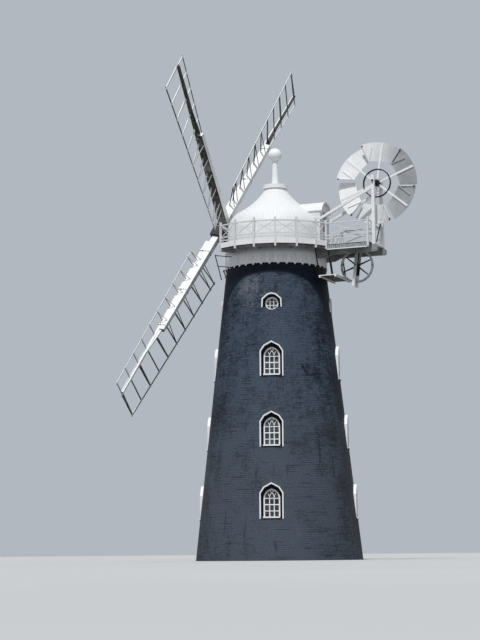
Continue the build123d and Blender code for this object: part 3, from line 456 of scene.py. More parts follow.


# The panes are old drawn glass, faintly wavy and hazed by dust, puttied into the frames. Their dark
# colour is painted shade for the dark storey behind them.
def pane_glass(name, dark=(0.016, 0.020, 0.034, 1), pale=(0.13, 0.15, 0.17, 1)):
    material, tree, shader, place = new_finish(name, 0.06, 0.6)
    shader.inputs["Transmission Weight"].default_value = 0.4
    shader.inputs["IOR"].default_value = 1.48
    haze = fade(tree, cloud(tree, place, 2.3, 3.0, 0.6), 0.35, 0.7)
    colour = blend(tree, haze, dark, pale)
    wire_up(tree, shader, colour, cloud(tree, place, 7.0, 1.0, 0.4), 0.004)
    return material


old_glass = pane_glass("old_glass")
dress(old_glass, "window_glass")


# The door is a close-boarded leaf in a rebated frame, painted black. Two long iron straps hold its
# boards and hang it, and a ring turns the latch.
def black_paint(name, paint, rust, amount, roughness):
    """Black paint over wood or iron, dulled by dust, with brown showing where it wears through."""
    material, tree, shader, place = new_finish(name, roughness, 0.3)
    slow = cloud(tree, place, 5.0, 6.0, 0.65)
    fine = cloud(tree, place, 42.0, 6.0, 0.7)
    worn = fade(tree, times(tree, slow, fine), 0.30, 0.42, 0.0, amount)
    dust = tuple(2 * part + 0.008 for part in paint[:3]) + (1,)
    colour = blend(tree, worn, blend(tree, fade(tree, slow, 0.35, 0.75), paint, dust), rust)
    wire_up(tree, shader, colour, fine, 0.001, fade(tree, fine, 0.3, 0.7, roughness, roughness + 0.22))
    return material


black_boards = black_paint("black_boards", (0.012, 0.012, 0.013, 1), (0.10, 0.09, 0.08, 1), 0.5, 0.5)
black_iron = black_paint("black_iron", (0.006, 0.006, 0.009, 1), (0.085, 0.038, 0.020, 1), 0.5, 0.5)
dress(black_boards, "door_frame", "back_door")
door_face = 3.2923
board_count = 8
board_gap = 0.004
board_proud = 0.008
board_bed = 0.002
leaf_half = door_half - 0.08
leaf_arc = door_arch_radius - 0.083
leaf_foot = 0.074


def door_place(x, z, proud):
    return Vector((-x, door_face + proud, z))


leaf_verts, leaf_faces = [], []
for k in range(board_count):
    width = 2 * leaf_half / board_count
    start = -leaf_half + width * k + board_gap / 2
    end = -leaf_half + width * (k + 1) - board_gap / 2
    top = [(x, door_arch_centre + sqrt(leaf_arc ** 2 - x * x)) for x in (end, (start + end) / 2, start)]
    outline = [(start, leaf_foot), (end, leaf_foot)] + top
    add_prism(leaf_verts, leaf_faces, [door_place(x, z, board_proud) for x, z in outline],
              [door_place(x, z, -board_bed) for x, z in outline])
new_piece("door_boards", leaf_verts, leaf_faces, black_boards, "tower")


def add_stud(verts, faces, centre, way, radius, height, sides=8):
    """A low domed head, such as a bolt's, standing on a face."""
    way = Vector(way).normalized()
    across = way.orthogonal().normalized()
    up = way.cross(across)
    first = len(verts)
    for share, size in ((0, 1), (0.6, 1), (1, 0.55)):
        for k in range(sides):
            turn = 2 * pi * k / sides
            verts.append(Vector(centre) + way * height * share
                         + (across * cos(turn) + up * sin(turn)) * radius * size)
    for row in (0, 1):
        for k in range(sides):
            n = (k + 1) % sides
            a = first + row * sides
            faces.append((a + k, a + n, a + sides + n, a + sides + k))
    faces.append(tuple(first + 2 * sides + k for k in range(sides)))
    faces.append(tuple(first + k for k in range(sides - 1, -1, -1)))


strap_levels = (0.42, 1.66)
strap_heel, strap_neck, strap_tip = -0.43, 0.16, 0.20
strap_heel_half, strap_neck_half = 0.03, 0.018
strap_proud = 0.014
strap_studs = (-0.38, -0.2, 0, 0.15)
latch_place = (0.33, 1.02)
ring_drop = 0.05
ring_radius = 0.045
ring_wire = 0.006
ring_steps = 16
iron_verts, iron_faces = [], []
for level in strap_levels:
    strap = [(strap_heel, level - strap_heel_half), (strap_neck, level - strap_neck_half),
             (strap_tip, level), (strap_neck, level + strap_neck_half),
             (strap_heel, level + strap_heel_half)]
    add_prism(iron_verts, iron_faces, [door_place(x, z, strap_proud) for x, z in strap],
              [door_place(x, z, strap_proud / 2) for x, z in strap])
    for x in strap_studs:
        add_stud(iron_verts, iron_faces, door_place(x, level, strap_proud - 0.001), (0, 1, 0), 0.011, 0.006)
ring_path = []
for k in range(ring_steps):
    turn = 2 * pi * k / ring_steps
    ring_path.append((latch_place[0] + ring_radius * sin(turn),
                      latch_place[1] - ring_drop + ring_radius * cos(turn)))
sweep(iron_verts, iron_faces, ring_path, ring_wire, 0.009, 0.022, door_place, closed=True)
add_stud(iron_verts, iron_faces, door_place(*latch_place, 0.007), (0, 1, 0), 0.03, 0.016, 12)
new_piece("door_ironwork", iron_verts, iron_faces, black_iron, "tower")


# Beside the second window an iron tie bar lies on the brickwork. A bolt through its upper end
# holds it to a beam inside.
tie_half = 0.026
tie_proud = 0.030
tie_head = (1.28, 8.19)
tie_foot = (1.45, 7.89)
tie_bolt_drop = 0.03
tie_way = (Vector(tie_foot) - Vector(tie_head)).normalized() * tie_half
tie_outline = [(x + side * tie_way.y, z - side * tie_way.x)
               for (x, z), side in ((tie_head, 1), (tie_foot, 1), (tie_foot, -1), (tie_head, -1))]
tie_verts, tie_faces = [], []
add_prism(tie_verts, tie_faces, [on_wall(-pi / 2, x, z, tie_proud) for x, z in tie_outline],
          [on_wall(-pi / 2, x, z, 0) for x, z in tie_outline])
tie_bolt = on_wall(-pi / 2, tie_head[0], tie_head[1] - tie_bolt_drop, tie_proud - 0.002)
add_stud(tie_verts, tie_faces, tie_bolt, (tie_head[0], -wall_radius(tie_head[1]), 0), 0.045, 0.025, 12)
new_piece("wall_tie", tie_verts, tie_faces, black_iron, "tower")


# Inside, the floors are boards on pairs of beams let into the wall, and an oak curb on the wall's
# head carries the cap. All of it is bare timber, gone grey and brown.
cap_heading = radians(-16.3)


def cap_place(tree, place):
    """The place turned back to the cap's own axes: x tailward, y to the far side."""
    return add(tree, "VectorRotate", {"Vector": place, "Angle": -cap_heading},
               rotation_type="Z_AXIS").outputs[0]


def bare_timber(name, pale, dark, run, heading=False):
    """Sawn timber with its grain drawn out along run and darker damp patches."""
    material, tree, shader, place = new_finish(name, 0.75, 0.25)
    if heading:
        place = cap_place(tree, place)
    grain = cloud(tree, place, 22.0, 6.0, 0.65, run)
    damp_and_shade = cloud(tree, place, 1.7, 5.0, 0.6)
    shade = plus(tree, times(tree, grain, 0.8), times(tree, damp_and_shade, 0.7))
    colour = blend(tree, fade(tree, shade, 0.45, 1.0), dark, pale)
    wire_up(tree, shader, colour, grain, 0.003, fade(tree, grain, 0.3, 0.7, 0.65, 0.85))
    return material


dress(bare_timber("floor_timber", (0.30, 0.22, 0.14, 1), (0.10, 0.07, 0.045, 1), (0.08, 1, 1)),
      "ground_floor", "upper_floors", "curb")
dress(bare_timber("frame_timber", (0.36, 0.37, 0.38, 1), (0.11, 0.11, 0.115, 1), (0.08, 1, 1), True),
      "cap_frame", "cap_floor")


# The cap is a ring of upright boards under a hollow-swept ogee of tapering boards, with a flat
# front for the windshaft. Boards, joints and nails are buried under many coats of white paint.
def joints(tree, across, width, gap):
    """A groove mask and a tone for boards of one width, laid side by side along across."""
    counted = work_out(tree, "DIVIDE", across, width)
    edge = work_out(tree, "ABSOLUTE", plus(tree, work_out(tree, "FRACT", counted), -0.5))
    groove = fade(tree, edge, 0.5 - gap / width, 0.5 - 0.25 * gap / width)
    number = work_out(tree, "FLOOR", counted)
    tone = add(tree, "TexWhiteNoise", {"W": number}, noise_dimensions="1D").outputs["Value"]
    return groove, tone


def boarded(name, way, width, paint=(0.84, 0.845, 0.84, 1), grime=(0.40, 0.42, 0.42, 1),
            gap=0.006, amount=0.3, sunk=0.3, uneven=0.14, damp_and_shade=None):
    """White painted boards, laid side by side round, across or up; painted shade, if given, greys their
    heads.
    """
    material, tree, shader, place = new_finish(name, specular=0.35)
    place = cap_place(tree, place)
    x, y, z = axes(tree, place)
    if way == "round":
        across = times(tree, work_out(tree, "ARCTAN2", y, x), cap_radius)
    else:
        across = {"across": y, "up": z}[way]
    groove, tone = joints(tree, across, width, gap)
    runs = cloud(tree, place, 4.2, 5.0, 0.6, (1.6, 1.6, 0.22))
    slow = cloud(tree, place, 0.9, 4.0, 0.55)
    spots = cloud(tree, place, 15.0, 8.0, 0.75)
    dirt = times(tree, fade(tree, runs, 0.45, 0.8), fade(tree, slow, 0.35, 0.7))
    dirt = plus(tree, dirt, times(tree, fade(tree, spots, 0.56, 0.76), 0.35))
    dirt = plus(tree, times(tree, dirt, amount), times(tree, tone, uneven), times(tree, groove, sunk))
    if damp_and_shade:
        dirt = work_out(tree, "MAXIMUM", dirt, fade(tree, z, *damp_and_shade))
    colour = blend(tree, dirt, paint, grime)
    height = work_out(tree, "SUBTRACT", times(tree, spots, 0.15), groove)
    wire_up(tree, shader, colour, height, 0.005, fade(tree, spots, 0.3, 0.7, 0.4, 0.6))
    return material


cap_radius = 2.19
cap_boards = 86
cap_board = 2 * pi * cap_radius / cap_boards
front_board = 0.16
# The roof and the wall carry the same white paint, painted greyer on the roof and whiter on the wall as
# painted light, to even out the sun that falls more fully on the roof.
dress(boarded("white_roof_boards", "round", cap_board, (0.81, 0.815, 0.82, 1), sunk=0.16, uneven=0.03),
      "cap_roof")
dress(boarded("white_wall_boards", "round", cap_board, (0.93, 0.935, 0.94, 1), amount=0.15, uneven=0.03),
      "cap_wall")
dress(boarded("white_front_boards", "across", front_board, uneven=0.05), "cap_front")


# A barrel-roofed dormer looks out over the fan stage. Its boarded sides run back into the roof and
# its door has two small panes, coloured blue as a painted reflection of the sky.
dormer_board = 0.165
dress(boarded("white_dormer_boards", "up", dormer_board, gap=0.005), "rear_dormer")
dress(painted("cap_door_paint", (0.74, 0.76, 0.78, 1), amount=0.5), "cap_door")
sky_reflection_glass = pane_glass("sky_reflection_glass", (0.012, 0.035, 0.130, 1), (0.06, 0.12, 0.32, 1))
dress(sky_reflection_glass, "cap_door_glass")


# The finial is a turned post and ball of timber, painted white. The round collar it stands on
# covers the heads of the roof boards.
finial_paint = painted("finial_paint", (0.87, 0.88, 0.89, 1), (0.50, 0.52, 0.54, 1), 0.2,
                       (1, 1, 0.5), 0.38)
dress(finial_paint, "finial")


# The petticoat is a skirt of upright boards hung from the gallery's plate, each a little in or out
# of line. Every second joint falls on a tip of the scalloped foot.
skirt_radius = 2.245
skirt_thickness = 0.025
skirt_top = 13.38
skirt_foot = 12.57
scallops = 38
scallop_depth = 0.1
scallop_tip = 0.02
scallop_half = skirt_radius * sin(pi / scallops) - scallop_tip / 2
scallop_nose = 0.024
scallop_fall = 3.2
foot_steps = 12
first_joist = radians(33)
joist_turn = radians(18)
joists_a_side = 6
joist_angles = [side * (first_joist + joist_turn * k) for side in (-1, 1) for k in range(joists_a_side)]
joist_gap = asin(0.0355 / skirt_radius)
joist_foot = skirt_top - 0.1605
sheer_sides = [asin(y / skirt_radius) for y in (0.4595, 0.6405)]
sheer_foot = 13.0595
skirt_boards = 2 * scallops
skirt_board = 2 * pi * cap_radius / skirt_boards
skirt_gap = 0.0035
skirt_uneven = 0.0045
least_turn = 0.0004


def cap_point(x, y, z):
    """A point of the cap from its own axes: x tailward, y to the far side."""
    return Vector((x * cos(cap_heading) - y * sin(cap_heading),
                   x * sin(cap_heading) + y * cos(cap_heading), z))


def scalloped_foot(angle):
    step = 2 * pi / scallops
    aside = (angle % step - step / 2) * skirt_radius
    share = min(1, abs(aside) / scallop_half)
    nose = scallop_nose * max(0, 1 - (share / 0.4) ** 2)
    return skirt_foot + scallop_depth * (1 - share ** scallop_fall) - nose


def skirt_notches():
    """Each notch as its two side angles and the level its timber reaches down to."""
    cuts = [(a - joist_gap, a + joist_gap, joist_foot) for a in joist_angles]
    cuts += [(sheer_sides[0], sheer_sides[1], sheer_foot), (-sheer_sides[1], -sheer_sides[0], sheer_foot)]
    return cuts


def on_skirt(angle, level, radius):
    return cap_point(radius * cos(angle), radius * sin(angle), level)


skirt_verts, skirt_faces = [], []
for k in range(skirt_boards):
    step = 2 * pi / skirt_boards
    middle = step * (k + 0.5) - pi
    half = step / 2 - skirt_gap / 2 / skirt_radius
    start, end = middle - half, middle + half
    turns = [start + (end - start) * s / foot_steps for s in range(foot_steps + 1)]
    foot = [(turn, scalloped_foot(turn)) for turn in turns]
    top = [(end, skirt_top)]
    for a, b, level in sorted(skirt_notches(), reverse=True):
        a, b = max(a, start), min(b, end)
        if b - a > least_turn:
            top += [(b, skirt_top), (b, level), (a, level), (a, skirt_top)]
    top.append((start, skirt_top))
    tidy = []
    for point in foot + top:
        if not tidy or abs(point[0] - tidy[-1][0]) + abs(point[1] - tidy[-1][1]) > 1e-6:
            tidy.append(point)
    if len(tidy) > 1 and tidy[0] == tidy[-1]:
        tidy.pop()
    inset = rng.uniform(0.0, skirt_uneven)
    add_prism(skirt_verts, skirt_faces,
              [on_skirt(a, z, skirt_radius - inset) for a, z in tidy],
              [on_skirt(a, z, skirt_radius - skirt_thickness) for a, z in tidy])
# The petticoat's paint is whiter than the other white boards as painted light in the deck's shade, and its
# heads are greyed under the deck as painted shade.
skirt_paint = boarded("petticoat_paint", "round", skirt_board, (0.92, 0.93, 0.95, 1), (0.34, 0.36, 0.38, 1),
                      gap=0.003, amount=0.42, sunk=0.33, uneven=0.24, damp_and_shade=(12.98, 13.30, 0.0, 0.85))
petticoat = new_piece("petticoat_boards", skirt_verts, skirt_faces, skirt_paint, "cap")
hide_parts("petticoat")


# The gallery is a deck of boards on joists that run out between the skirt's boards to the posts.
# Kickboards and an open railing with crossed braces go round it, all white. The deck is bare, and
# dark boards close its rim between the ends of the joists.
def deck_boards(name, edged):
    """Boards laid across each bay and across the stage, bare above and painted grey beneath, that grey
    darkened as painted shade.
    """
    material, tree, shader, place = new_finish(name, 0.7, 0.3)
    under = axes(tree, add(tree, "TexCoord").outputs["Normal"])[2]
    place = cap_place(tree, place)
    x, y, z = axes(tree, place)
    angle = work_out(tree, "ABSOLUTE", work_out(tree, "ARCTAN2", y, x))
    half_bay = joist_turn / 2
    past_joist = plus(tree, angle, half_bay - first_joist)
    bay = plus(tree, work_out(tree, "PINGPONG", past_joist, joist_turn), -half_bay)
    radius = work_out(tree, "SQRT", plus(tree, times(tree, x, x), times(tree, y, y)))
    outward = times(tree, radius, work_out(tree, "COSINE", bay))
    beside = work_out(tree, "ABSOLUTE", y)
    on_stage = times(tree, work_out(tree, "LESS_THAN", beside, stage_half - 0.03),
                     work_out(tree, "GREATER_THAN", x, stage_root))
    across = add(tree, "Mix", {0: on_stage, 2: outward, 3: x}, data_type="FLOAT").outputs[0]
    groove, tone = joints(tree, across, deck_board, 0.007)
    grain = cloud(tree, place, 9.0, 6.0, 0.65)
    damp_and_shade = cloud(tree, place, 1.6, 4.0, 0.6)
    shade = plus(tree, times(tree, tone, 0.5), grain, damp_and_shade)
    wood = blend(tree, fade(tree, shade, 0.75, 1.6), (0.060, 0.050, 0.042, 1), (0.20, 0.18, 0.155, 1))
    # Beneath, the grey paint is darkened as painted shade under the deck.
    grey = blend(tree, fade(tree, shade, 0.85, 1.5), (0.045, 0.043, 0.040, 1), (0.200, 0.200, 0.195, 1))
    wood = blend(tree, work_out(tree, "LESS_THAN", under, -0.5), wood, grey)
    wood = blend(tree, groove, wood, (0.012, 0.011, 0.010, 1))
    if edged:
        side = work_out(tree, "GREATER_THAN", beside, stage_edge)
        green = blend(tree, fade(tree, grain, 0.35, 0.7), (0.50, 0.53, 0.51, 1), (0.30, 0.33, 0.31, 1))
        stripe = joints(tree, plus(tree, x, -stage_start), butt_pitch, 0.035)[0]
        green = blend(tree, times(tree, stripe, 0.6), green, (0.12, 0.13, 0.12, 1))
        low = work_out(tree, "LESS_THAN", z, edge_board_top)
        green = blend(tree, low, green, (0.86, 0.87, 0.87, 1))
        # Above the butts' foot the edge is painted black, a painted shadow line behind and between the
        # butts.
        high = work_out(tree, "GREATER_THAN", z, shadow_band_foot)
        green = blend(tree, high, green, (0.010, 0.011, 0.013, 1))
        wood = blend(tree, side, wood, green)
    wire_up(tree, shader, wood, work_out(tree, "SUBTRACT", grain, times(tree, groove, 2.0)), 0.003)
    return material


deck_board = 0.145
gallery_radius = 2.93
stage_half = 1.05
stage_root = 2.2
stage_edge = 1.0085
stage_start = 2.783
butt_pitch = 0.0895
edge_board_top = 13.238
shadow_band_foot = 13.352
white_timber = painted("white_timber", (0.87, 0.875, 0.88, 1), amount=0.3)
dress(deck_boards("gallery_boards", False), "gallery_deck")
dress(bare_timber("joist_timber", (0.50, 0.50, 0.49, 1), (0.20, 0.185, 0.165, 1), (0.2, 0.2, 1), True),
      "gallery_joists")
dress(white_timber, "gallery_kickboards")
# The railings are white like the rest, but carry a greyer paint as painted shade.
railing_shade_paint = painted("railing_shade_paint", (0.70, 0.71, 0.73, 1), (0.34, 0.35, 0.36, 1), 0.3)
dress(railing_shade_paint, "gallery_railing")
dress(black_iron, "gallery_bracket")
rim_foot, rim_top = 13.245, 13.3695
rim_sheets = (-0.016, -0.045)
rim_clear = 0.046
rim_verts, rim_faces = [], []
for side in (-1, 1):
    corners = [Vector((sqrt(gallery_radius ** 2 - stage_half ** 2), side * stage_half, 0))]
    for k in range(joists_a_side):
        turn = first_joist + joist_turn * k
        corners.append(Vector((gallery_radius * cos(turn), side * gallery_radius * sin(turn), 0)))
    for start, end in zip(corners, corners[1:]):
        way = (end - start).normalized()
        out = Vector((way.y, -way.x, 0)) * side
        ends = [start + way * rim_clear, end - way * rim_clear]
        if side > 0:
            ends.reverse()
        sheets = []
        for aside in rim_sheets:
            near, far = [point + out * aside for point in ends]
            outline = ((near, rim_foot), (far, rim_foot), (far, rim_top), (near, rim_top))
            sheets.append([cap_point(point.x, point.y, z) for point, z in outline])
        add_prism(rim_verts, rim_faces, *sheets)
rim_wood = bare_timber("rim_timber", (0.13, 0.125, 0.12, 1), (0.018, 0.017, 0.016, 1),
                       (0.2, 0.2, 1), True)
new_piece("gallery_rim_boards", rim_verts, rim_faces, rim_wood, "cap")


# Behind the dormer the deck runs out over the sheers as the fan stage. Its cross boards end in a
# row of painted butts over deep white edge boards.
dress(deck_boards("stage_boards", True), "stage_deck")
dress(railing_shade_paint, "stage_railing")
butts_a_side = 20
butt_gap = 0.045
butt_foot, butt_top = 13.354, 13.384
butt_proud = 0.002
butt_bed = 0.014
butt_verts, butt_faces = [], []
for side in (-1, 1):
    for k in range(butts_a_side):
        start = stage_start + butt_pitch * k + butt_gap / 2
        end = start + butt_pitch - butt_gap
        outline = [(start, butt_foot), (end, butt_foot), (end, butt_top), (start, butt_top)]
        if side > 0:
            outline.reverse()
        add_prism(butt_verts, butt_faces,
                  [cap_point(x, side * (stage_half + butt_proud), z) for x, z in outline],
                  [cap_point(x, side * (stage_half - butt_bed), z) for x, z in outline])
new_piece("stage_board_ends", butt_verts, butt_faces, white_timber, "cap")


# Two square posts rise from the tails of the sheers to carry the fan, each held by a long strut
# from the dormer. A flat iron V between them is bolted to the deck.
dress(white_timber, "fan_posts", "fan_struts")
dress(black_iron, "iron_braces")


# Under the stage a pair of leaning posts carries the chain wheel between iron plates, and a narrow
# platform of boards hangs on four flat irons, so that the wheel's chain can be reached.
def hung_paint(name, boards):
    """White paint, greyed towards the deck on the posts as painted shade, and bare wood beneath the
    platform's boards darkened as painted shade.
    """
    material, tree, shader, place = new_finish(name, specular=0.3)
    under = axes(tree, add(tree, "TexCoord").outputs["Normal"])[2]
    place = cap_place(tree, place)
    x, y, z = axes(tree, place)
    spots = cloud(tree, place, 7.0, 7.0, 0.7)
    grain = cloud(tree, place, 20.0, 5.0, 0.6, (1, 0.1, 1) if boards else (1, 1, 0.1))
    thin = fade(tree, spots, 0.50, 0.72, 0.0, 0.4)
    white = blend(tree, thin, (0.86, 0.87, 0.88, 1), (0.36, 0.37, 0.37, 1))
    if boards:
        groove = joints(tree, x, platform_board, 0.014)[0]
        streak = fade(tree, grain, 0.35, 0.7)
        # Beneath the boards the bare wood is darkened as painted shade.
        bare_shaded_wood = blend(tree, streak, (0.045, 0.040, 0.036, 1), (0.150, 0.140, 0.130, 1))
        bare_shaded_wood = blend(tree, groove, bare_shaded_wood, (0.008, 0.008, 0.008, 1))
        colour = blend(tree, work_out(tree, "LESS_THAN", under, -0.5), white, bare_shaded_wood)
    else:
        # The posts go grey towards the deck as painted shade of the stage.
        deck_shade_rise = plus(tree, z, times(tree, spots, 0.6))
        colour = blend(tree, fade(tree, deck_shade_rise, 12.35, 13.0, 0.0, 0.72), white, (0.17, 0.18, 0.19, 1))
    wire_up(tree, shader, colour, grain, 0.001, fade(tree, spots, 0.3, 0.7, 0.45, 0.7))
    return material


platform_board = 0.137
dress(hung_paint("post_paint", False), "hanging_posts")
dress(hung_paint("platform_paint", True), "hanging_platform")
dress(black_iron, "axle_plates")
hanger_feet = (2.355, 2.925)
hanger_foot, hanger_top = 12.14, 13.38
hanger_half = 0.028
hanger_lean = 0.18
hanger_out, hanger_in = 0.928, 0.914
hanger_bolt_inset = 0.05
hanger_verts, hanger_faces = [], []
for side in (-1, 1):
    for x in hanger_feet:
        head = x - hanger_lean
        outline = [(x - hanger_half, hanger_foot), (x + hanger_half, hanger_foot),
                   (head + hanger_half, hanger_top), (head - hanger_half, hanger_top)]
        if side > 0:
            outline.reverse()
        add_prism(hanger_verts, hanger_faces, [cap_point(a, side * hanger_out, z) for a, z in outline],
                  [cap_point(a, side * hanger_in, z) for a, z in outline])
        for level in (hanger_foot + hanger_bolt_inset, hanger_top - hanger_bolt_inset):
            aside = x - hanger_lean * (level - hanger_foot) / (hanger_top - hanger_foot)
            bolt = cap_point(aside, side * (hanger_out - 0.001), level)
            add_stud(hanger_verts, hanger_faces, bolt, cap_point(0, side, 0), 0.016, 0.012)
hangers = new_piece("platform_hangers", hanger_verts, hanger_faces, black_iron, "cap")
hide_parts("platform_rods")


# The chain wheel is of cast iron, a flat rim on six spokes that taper outward from the hub. Its
# rim was painted white and has worn to the metal in places, and its spokes and hub are black.
def from_middle(tree, place, middle):
    """The place in the cap's axes, counted from a middle of its own."""
    turned = cap_place(tree, place)
    return add(tree, "VectorMath", {0: turned, 1: middle}, operation="SUBTRACT").outputs[0]


def wheel_paint(name):
    """White paint on the rim, worn to dark iron in places, and black on the spokes and hub."""
    material, tree, shader, place = new_finish(name, 0.5, 0.35)
    x, y, z = axes(tree, from_middle(tree, place, wheel_middle))
    radius = work_out(tree, "SQRT", plus(tree, times(tree, x, x), times(tree, z, z)))
    worn = fade(tree, cloud(tree, place, 5.0, 6.0, 0.7), 0.47, 0.58, 0, 0.85)
    rim = blend(tree, worn, (0.55, 0.57, 0.60, 1), (0.050, 0.050, 0.055, 1))
    inside = work_out(tree, "LESS_THAN", radius, rim_inner)
    colour = blend(tree, inside, rim, (0.005, 0.005, 0.007, 1))
    wire_up(tree, shader, colour, cloud(tree, place, 60.0, 4.0, 0.6), 0.001)
    return material


wheel_middle = (3.76, 0, 12.58)
wheel_turn = radians(20.5)
wheel_spokes = 6
rim_inner = 0.655
spoke_start, spoke_end = 0.080, 0.664
spoke_root_half, spoke_tip_half = 0.034, 0.022
spoke_depth_half = 0.022
spoke_outline = [(spoke_start, -spoke_root_half), (spoke_end, -spoke_tip_half),
                 (spoke_end, spoke_tip_half), (spoke_start, spoke_root_half)]
dress(wheel_paint("wheel_paint"), "chain_wheel")
spoke_verts, spoke_faces = [], []
for k in range(wheel_spokes):
    turn = wheel_turn + 2 * pi * k / wheel_spokes
    sheets = []
    for proud in (-spoke_depth_half, spoke_depth_half):
        sheets.append([cap_point(wheel_middle[0] + out * cos(turn) - aside * sin(turn), proud,
                                 wheel_middle[2] + out * sin(turn) + aside * cos(turn))
                       for out, aside in spoke_outline])
    add_prism(spoke_verts, spoke_faces, *sheets)
new_piece("wheel_spokes", spoke_verts, spoke_faces, black_iron, "chain_wheel")


# The windshaft's iron poll end carries two stocks crossed through it. A whip is strapped on each
# half of a stock, and light bars, hemlaths and back stays make the open frames. Every second bar
# is a thicker board, broader at the whip, and bolts pin the straps.
shaft_tilt = radians(12.8)
sail_turn = radians(36.7)
sail_hub = Vector((-2.73, 0, 14.48))
shaft_up = Vector((sin(shaft_tilt), 0, cos(shaft_tilt)))
shaft_side = Vector((0, 1, 0))
shaft_way = Vector((-cos(shaft_tilt), 0, sin(shaft_tilt)))
stock_offset = 0.28
whip_back = 0.10
bar_pitch = 0.836
sail_reach = 9.66
stock_end = 6.0


def sail_axes(tree, place):
    """Distances out along a sail, across it, in front of its whip's back and along the second stock."""
    local = from_middle(tree, place, sail_hub)
    ways = (shaft_up * cos(sail_turn) + shaft_side * sin(sail_turn),
            shaft_side * cos(sail_turn) - shaft_up * sin(sail_turn), shaft_way)
    dots = [add(tree, "VectorMath", {0: local, 1: way}, operation="DOT_PRODUCT") for way in ways]
    first, second, front = [dot.outputs["Value"] for dot in dots]
    long_first, long_second = [work_out(tree, "ABSOLUTE", value) for value in (first, second)]
    on_first = work_out(tree, "GREATER_THAN", long_first, long_second)
    if_first = times(tree, second, work_out(tree, "SIGN", first))
    if_second = times(tree, first, work_out(tree, "SIGN", second), -1.0)
    across = add(tree, "Mix", {0: on_first, 2: if_second, 3: if_first}, data_type="FLOAT").outputs[0]
    front = plus(tree, front, times(tree, work_out(tree, "SIGN", front), -stock_offset), whip_back)
    return work_out(tree, "MAXIMUM", long_first, long_second), across, front, second


def sail_paint(name):
    """White paint, grown black-green on the faces that the sun doesn't reach: algae and painted shade."""
    material, tree, shader, place = new_finish(name, specular=0.3)
    reach, across, front, second = sail_axes(tree, place)
    up = axes(tree, add(tree, "TexCoord").outputs["Normal"])[2]
    slow = cloud(tree, place, 1.1, 5.0, 0.68)
    spots = cloud(tree, place, 7.0, 7.0, 0.72)
    thin = fade(tree, spots, 0.52, 0.75, 0, 0.45)
    base = blend(tree, thin, (0.86, 0.87, 0.86, 1), (0.42, 0.43, 0.40, 1))
    dense = fade(tree, spots, 0.40, 0.62)
    growth_and_shade = blend(tree, dense, (0.014, 0.018, 0.014, 1), (0.105, 0.112, 0.085, 1))
    algae_and_shade = times(tree, fade(tree, up, -0.16, -0.60), fade(tree, slow, 0.22, 0.50, 0.60, 1.0))
    faint = times(tree, fade(tree, up, 0.0, -0.15), fade(tree, slow, 0.50, 0.66), 0.35)
    algae_and_shade = plus(tree, algae_and_shade, faint)

    # One sail's rails are grown over whole, and darkened as painted shade, but for the places where the
    # bars meet them. The bars on the first stock are darkened on their shaded side as painted shade.
    from_rails = work_out(tree, "ABSOLUTE", plus(tree, across, -rails_middle))
    on_rail = work_out(tree, "GREATER_THAN", from_rails, rails_half)
    green_shaded_rail = times(tree, on_rail, work_out(tree, "LESS_THAN", second, -1.9), 0.97)
    algae_and_shade = work_out(tree, "MAXIMUM", algae_and_shade, green_shaded_rail)
    near_first = work_out(tree, "LESS_THAN", work_out(tree, "ABSOLUTE", second), 1.6)
    on_shaded_bars = times(tree, near_first, work_out(tree, "LESS_THAN", across, -0.13))
    shaded_bars = times(tree, on_shaded_bars, fade(tree, up, 0.05, -0.10), fade(tree, slow, 0.2, 0.5, 0.65, 0.95))
    algae_and_shade = work_out(tree, "MAXIMUM", algae_and_shade, shaded_bars)
    inward = work_out(tree, "SUBTRACT", sail_reach, reach)
    from_bar = work_out(tree, "PINGPONG", inward, bar_pitch / 2)
    joint = times(tree, on_rail, fade(tree, from_bar, 0.07, 0.04, 0.0, -0.95))
    algae_and_shade = times(tree, algae_and_shade, plus(tree, joint, 1.0))

    # Past the stocks' ends the upper whips are darkened behind their front edge as painted shade for their
    # shaded backs.
    on_whip = work_out(tree, "LESS_THAN", work_out(tree, "ABSOLUTE", across), 0.11)
    outer = fade(tree, reach, stock_end + 0.02, stock_end + 0.10)
    upper = work_out(tree, "GREATER_THAN", axes(tree, place)[2], sail_hub.z)
    whip_back_shade = times(tree, on_whip, fade(tree, front, 0.088, 0.076), outer, upper)
    whip_back_shade = times(tree, whip_back_shade, fade(tree, slow, 0.25, 0.45, 0.75, 1.0))
    colour = blend(tree, work_out(tree, "MAXIMUM", algae_and_shade, whip_back_shade), base, growth_and_shade)
    wire_up(tree, shader, colour, spots, 0.001, fade(tree, spots, 0.3, 0.7, 0.5, 0.75))
    return material


rails_middle = -0.40
rails_half = 0.96
sail_white = sail_paint("sail_paint")
dress(sail_white, "inner_stock", "outer_stock", "sail_whips")
dress(sail_white, "sail_frame_1", "sail_frame_2", "sail_frame_3", "sail_frame_4")
dress(sail_white, "sail_straps")
dress(black_iron, "shaft_bearings")
heel_weather, tip_weather = 20, 5
heel_reach = sail_reach - 9 * bar_pitch
bar_off = 0.08


def on_sail(k, reach, across, front):
    """A point of sail k by its distance out, across the sail and in front of the whip's back."""
    turn = sail_turn + k * pi / 2
    level = (stock_offset if k % 2 == 0 else -stock_offset) - whip_back + front
    point = (sail_hub + shaft_up * (reach * cos(turn) - across * sin(turn))
             + shaft_side * (reach * sin(turn) + across * cos(turn)) + shaft_way * level)
    return cap_point(point.x, point.y, point.z)


def on_bar(k, reach, across, proud):
    """A point over a sail bar, which lies in the sail's twisted plane, bar_off from the whip's back."""
    share = (reach - heel_reach) / (sail_reach - heel_reach)
    twist = radians(heel_weather + (tip_weather - heel_weather) * share)
    return on_sail(k, reach, across * cos(twist) - proud * sin(twist),
                   bar_off + across * sin(twist) + proud * cos(twist))


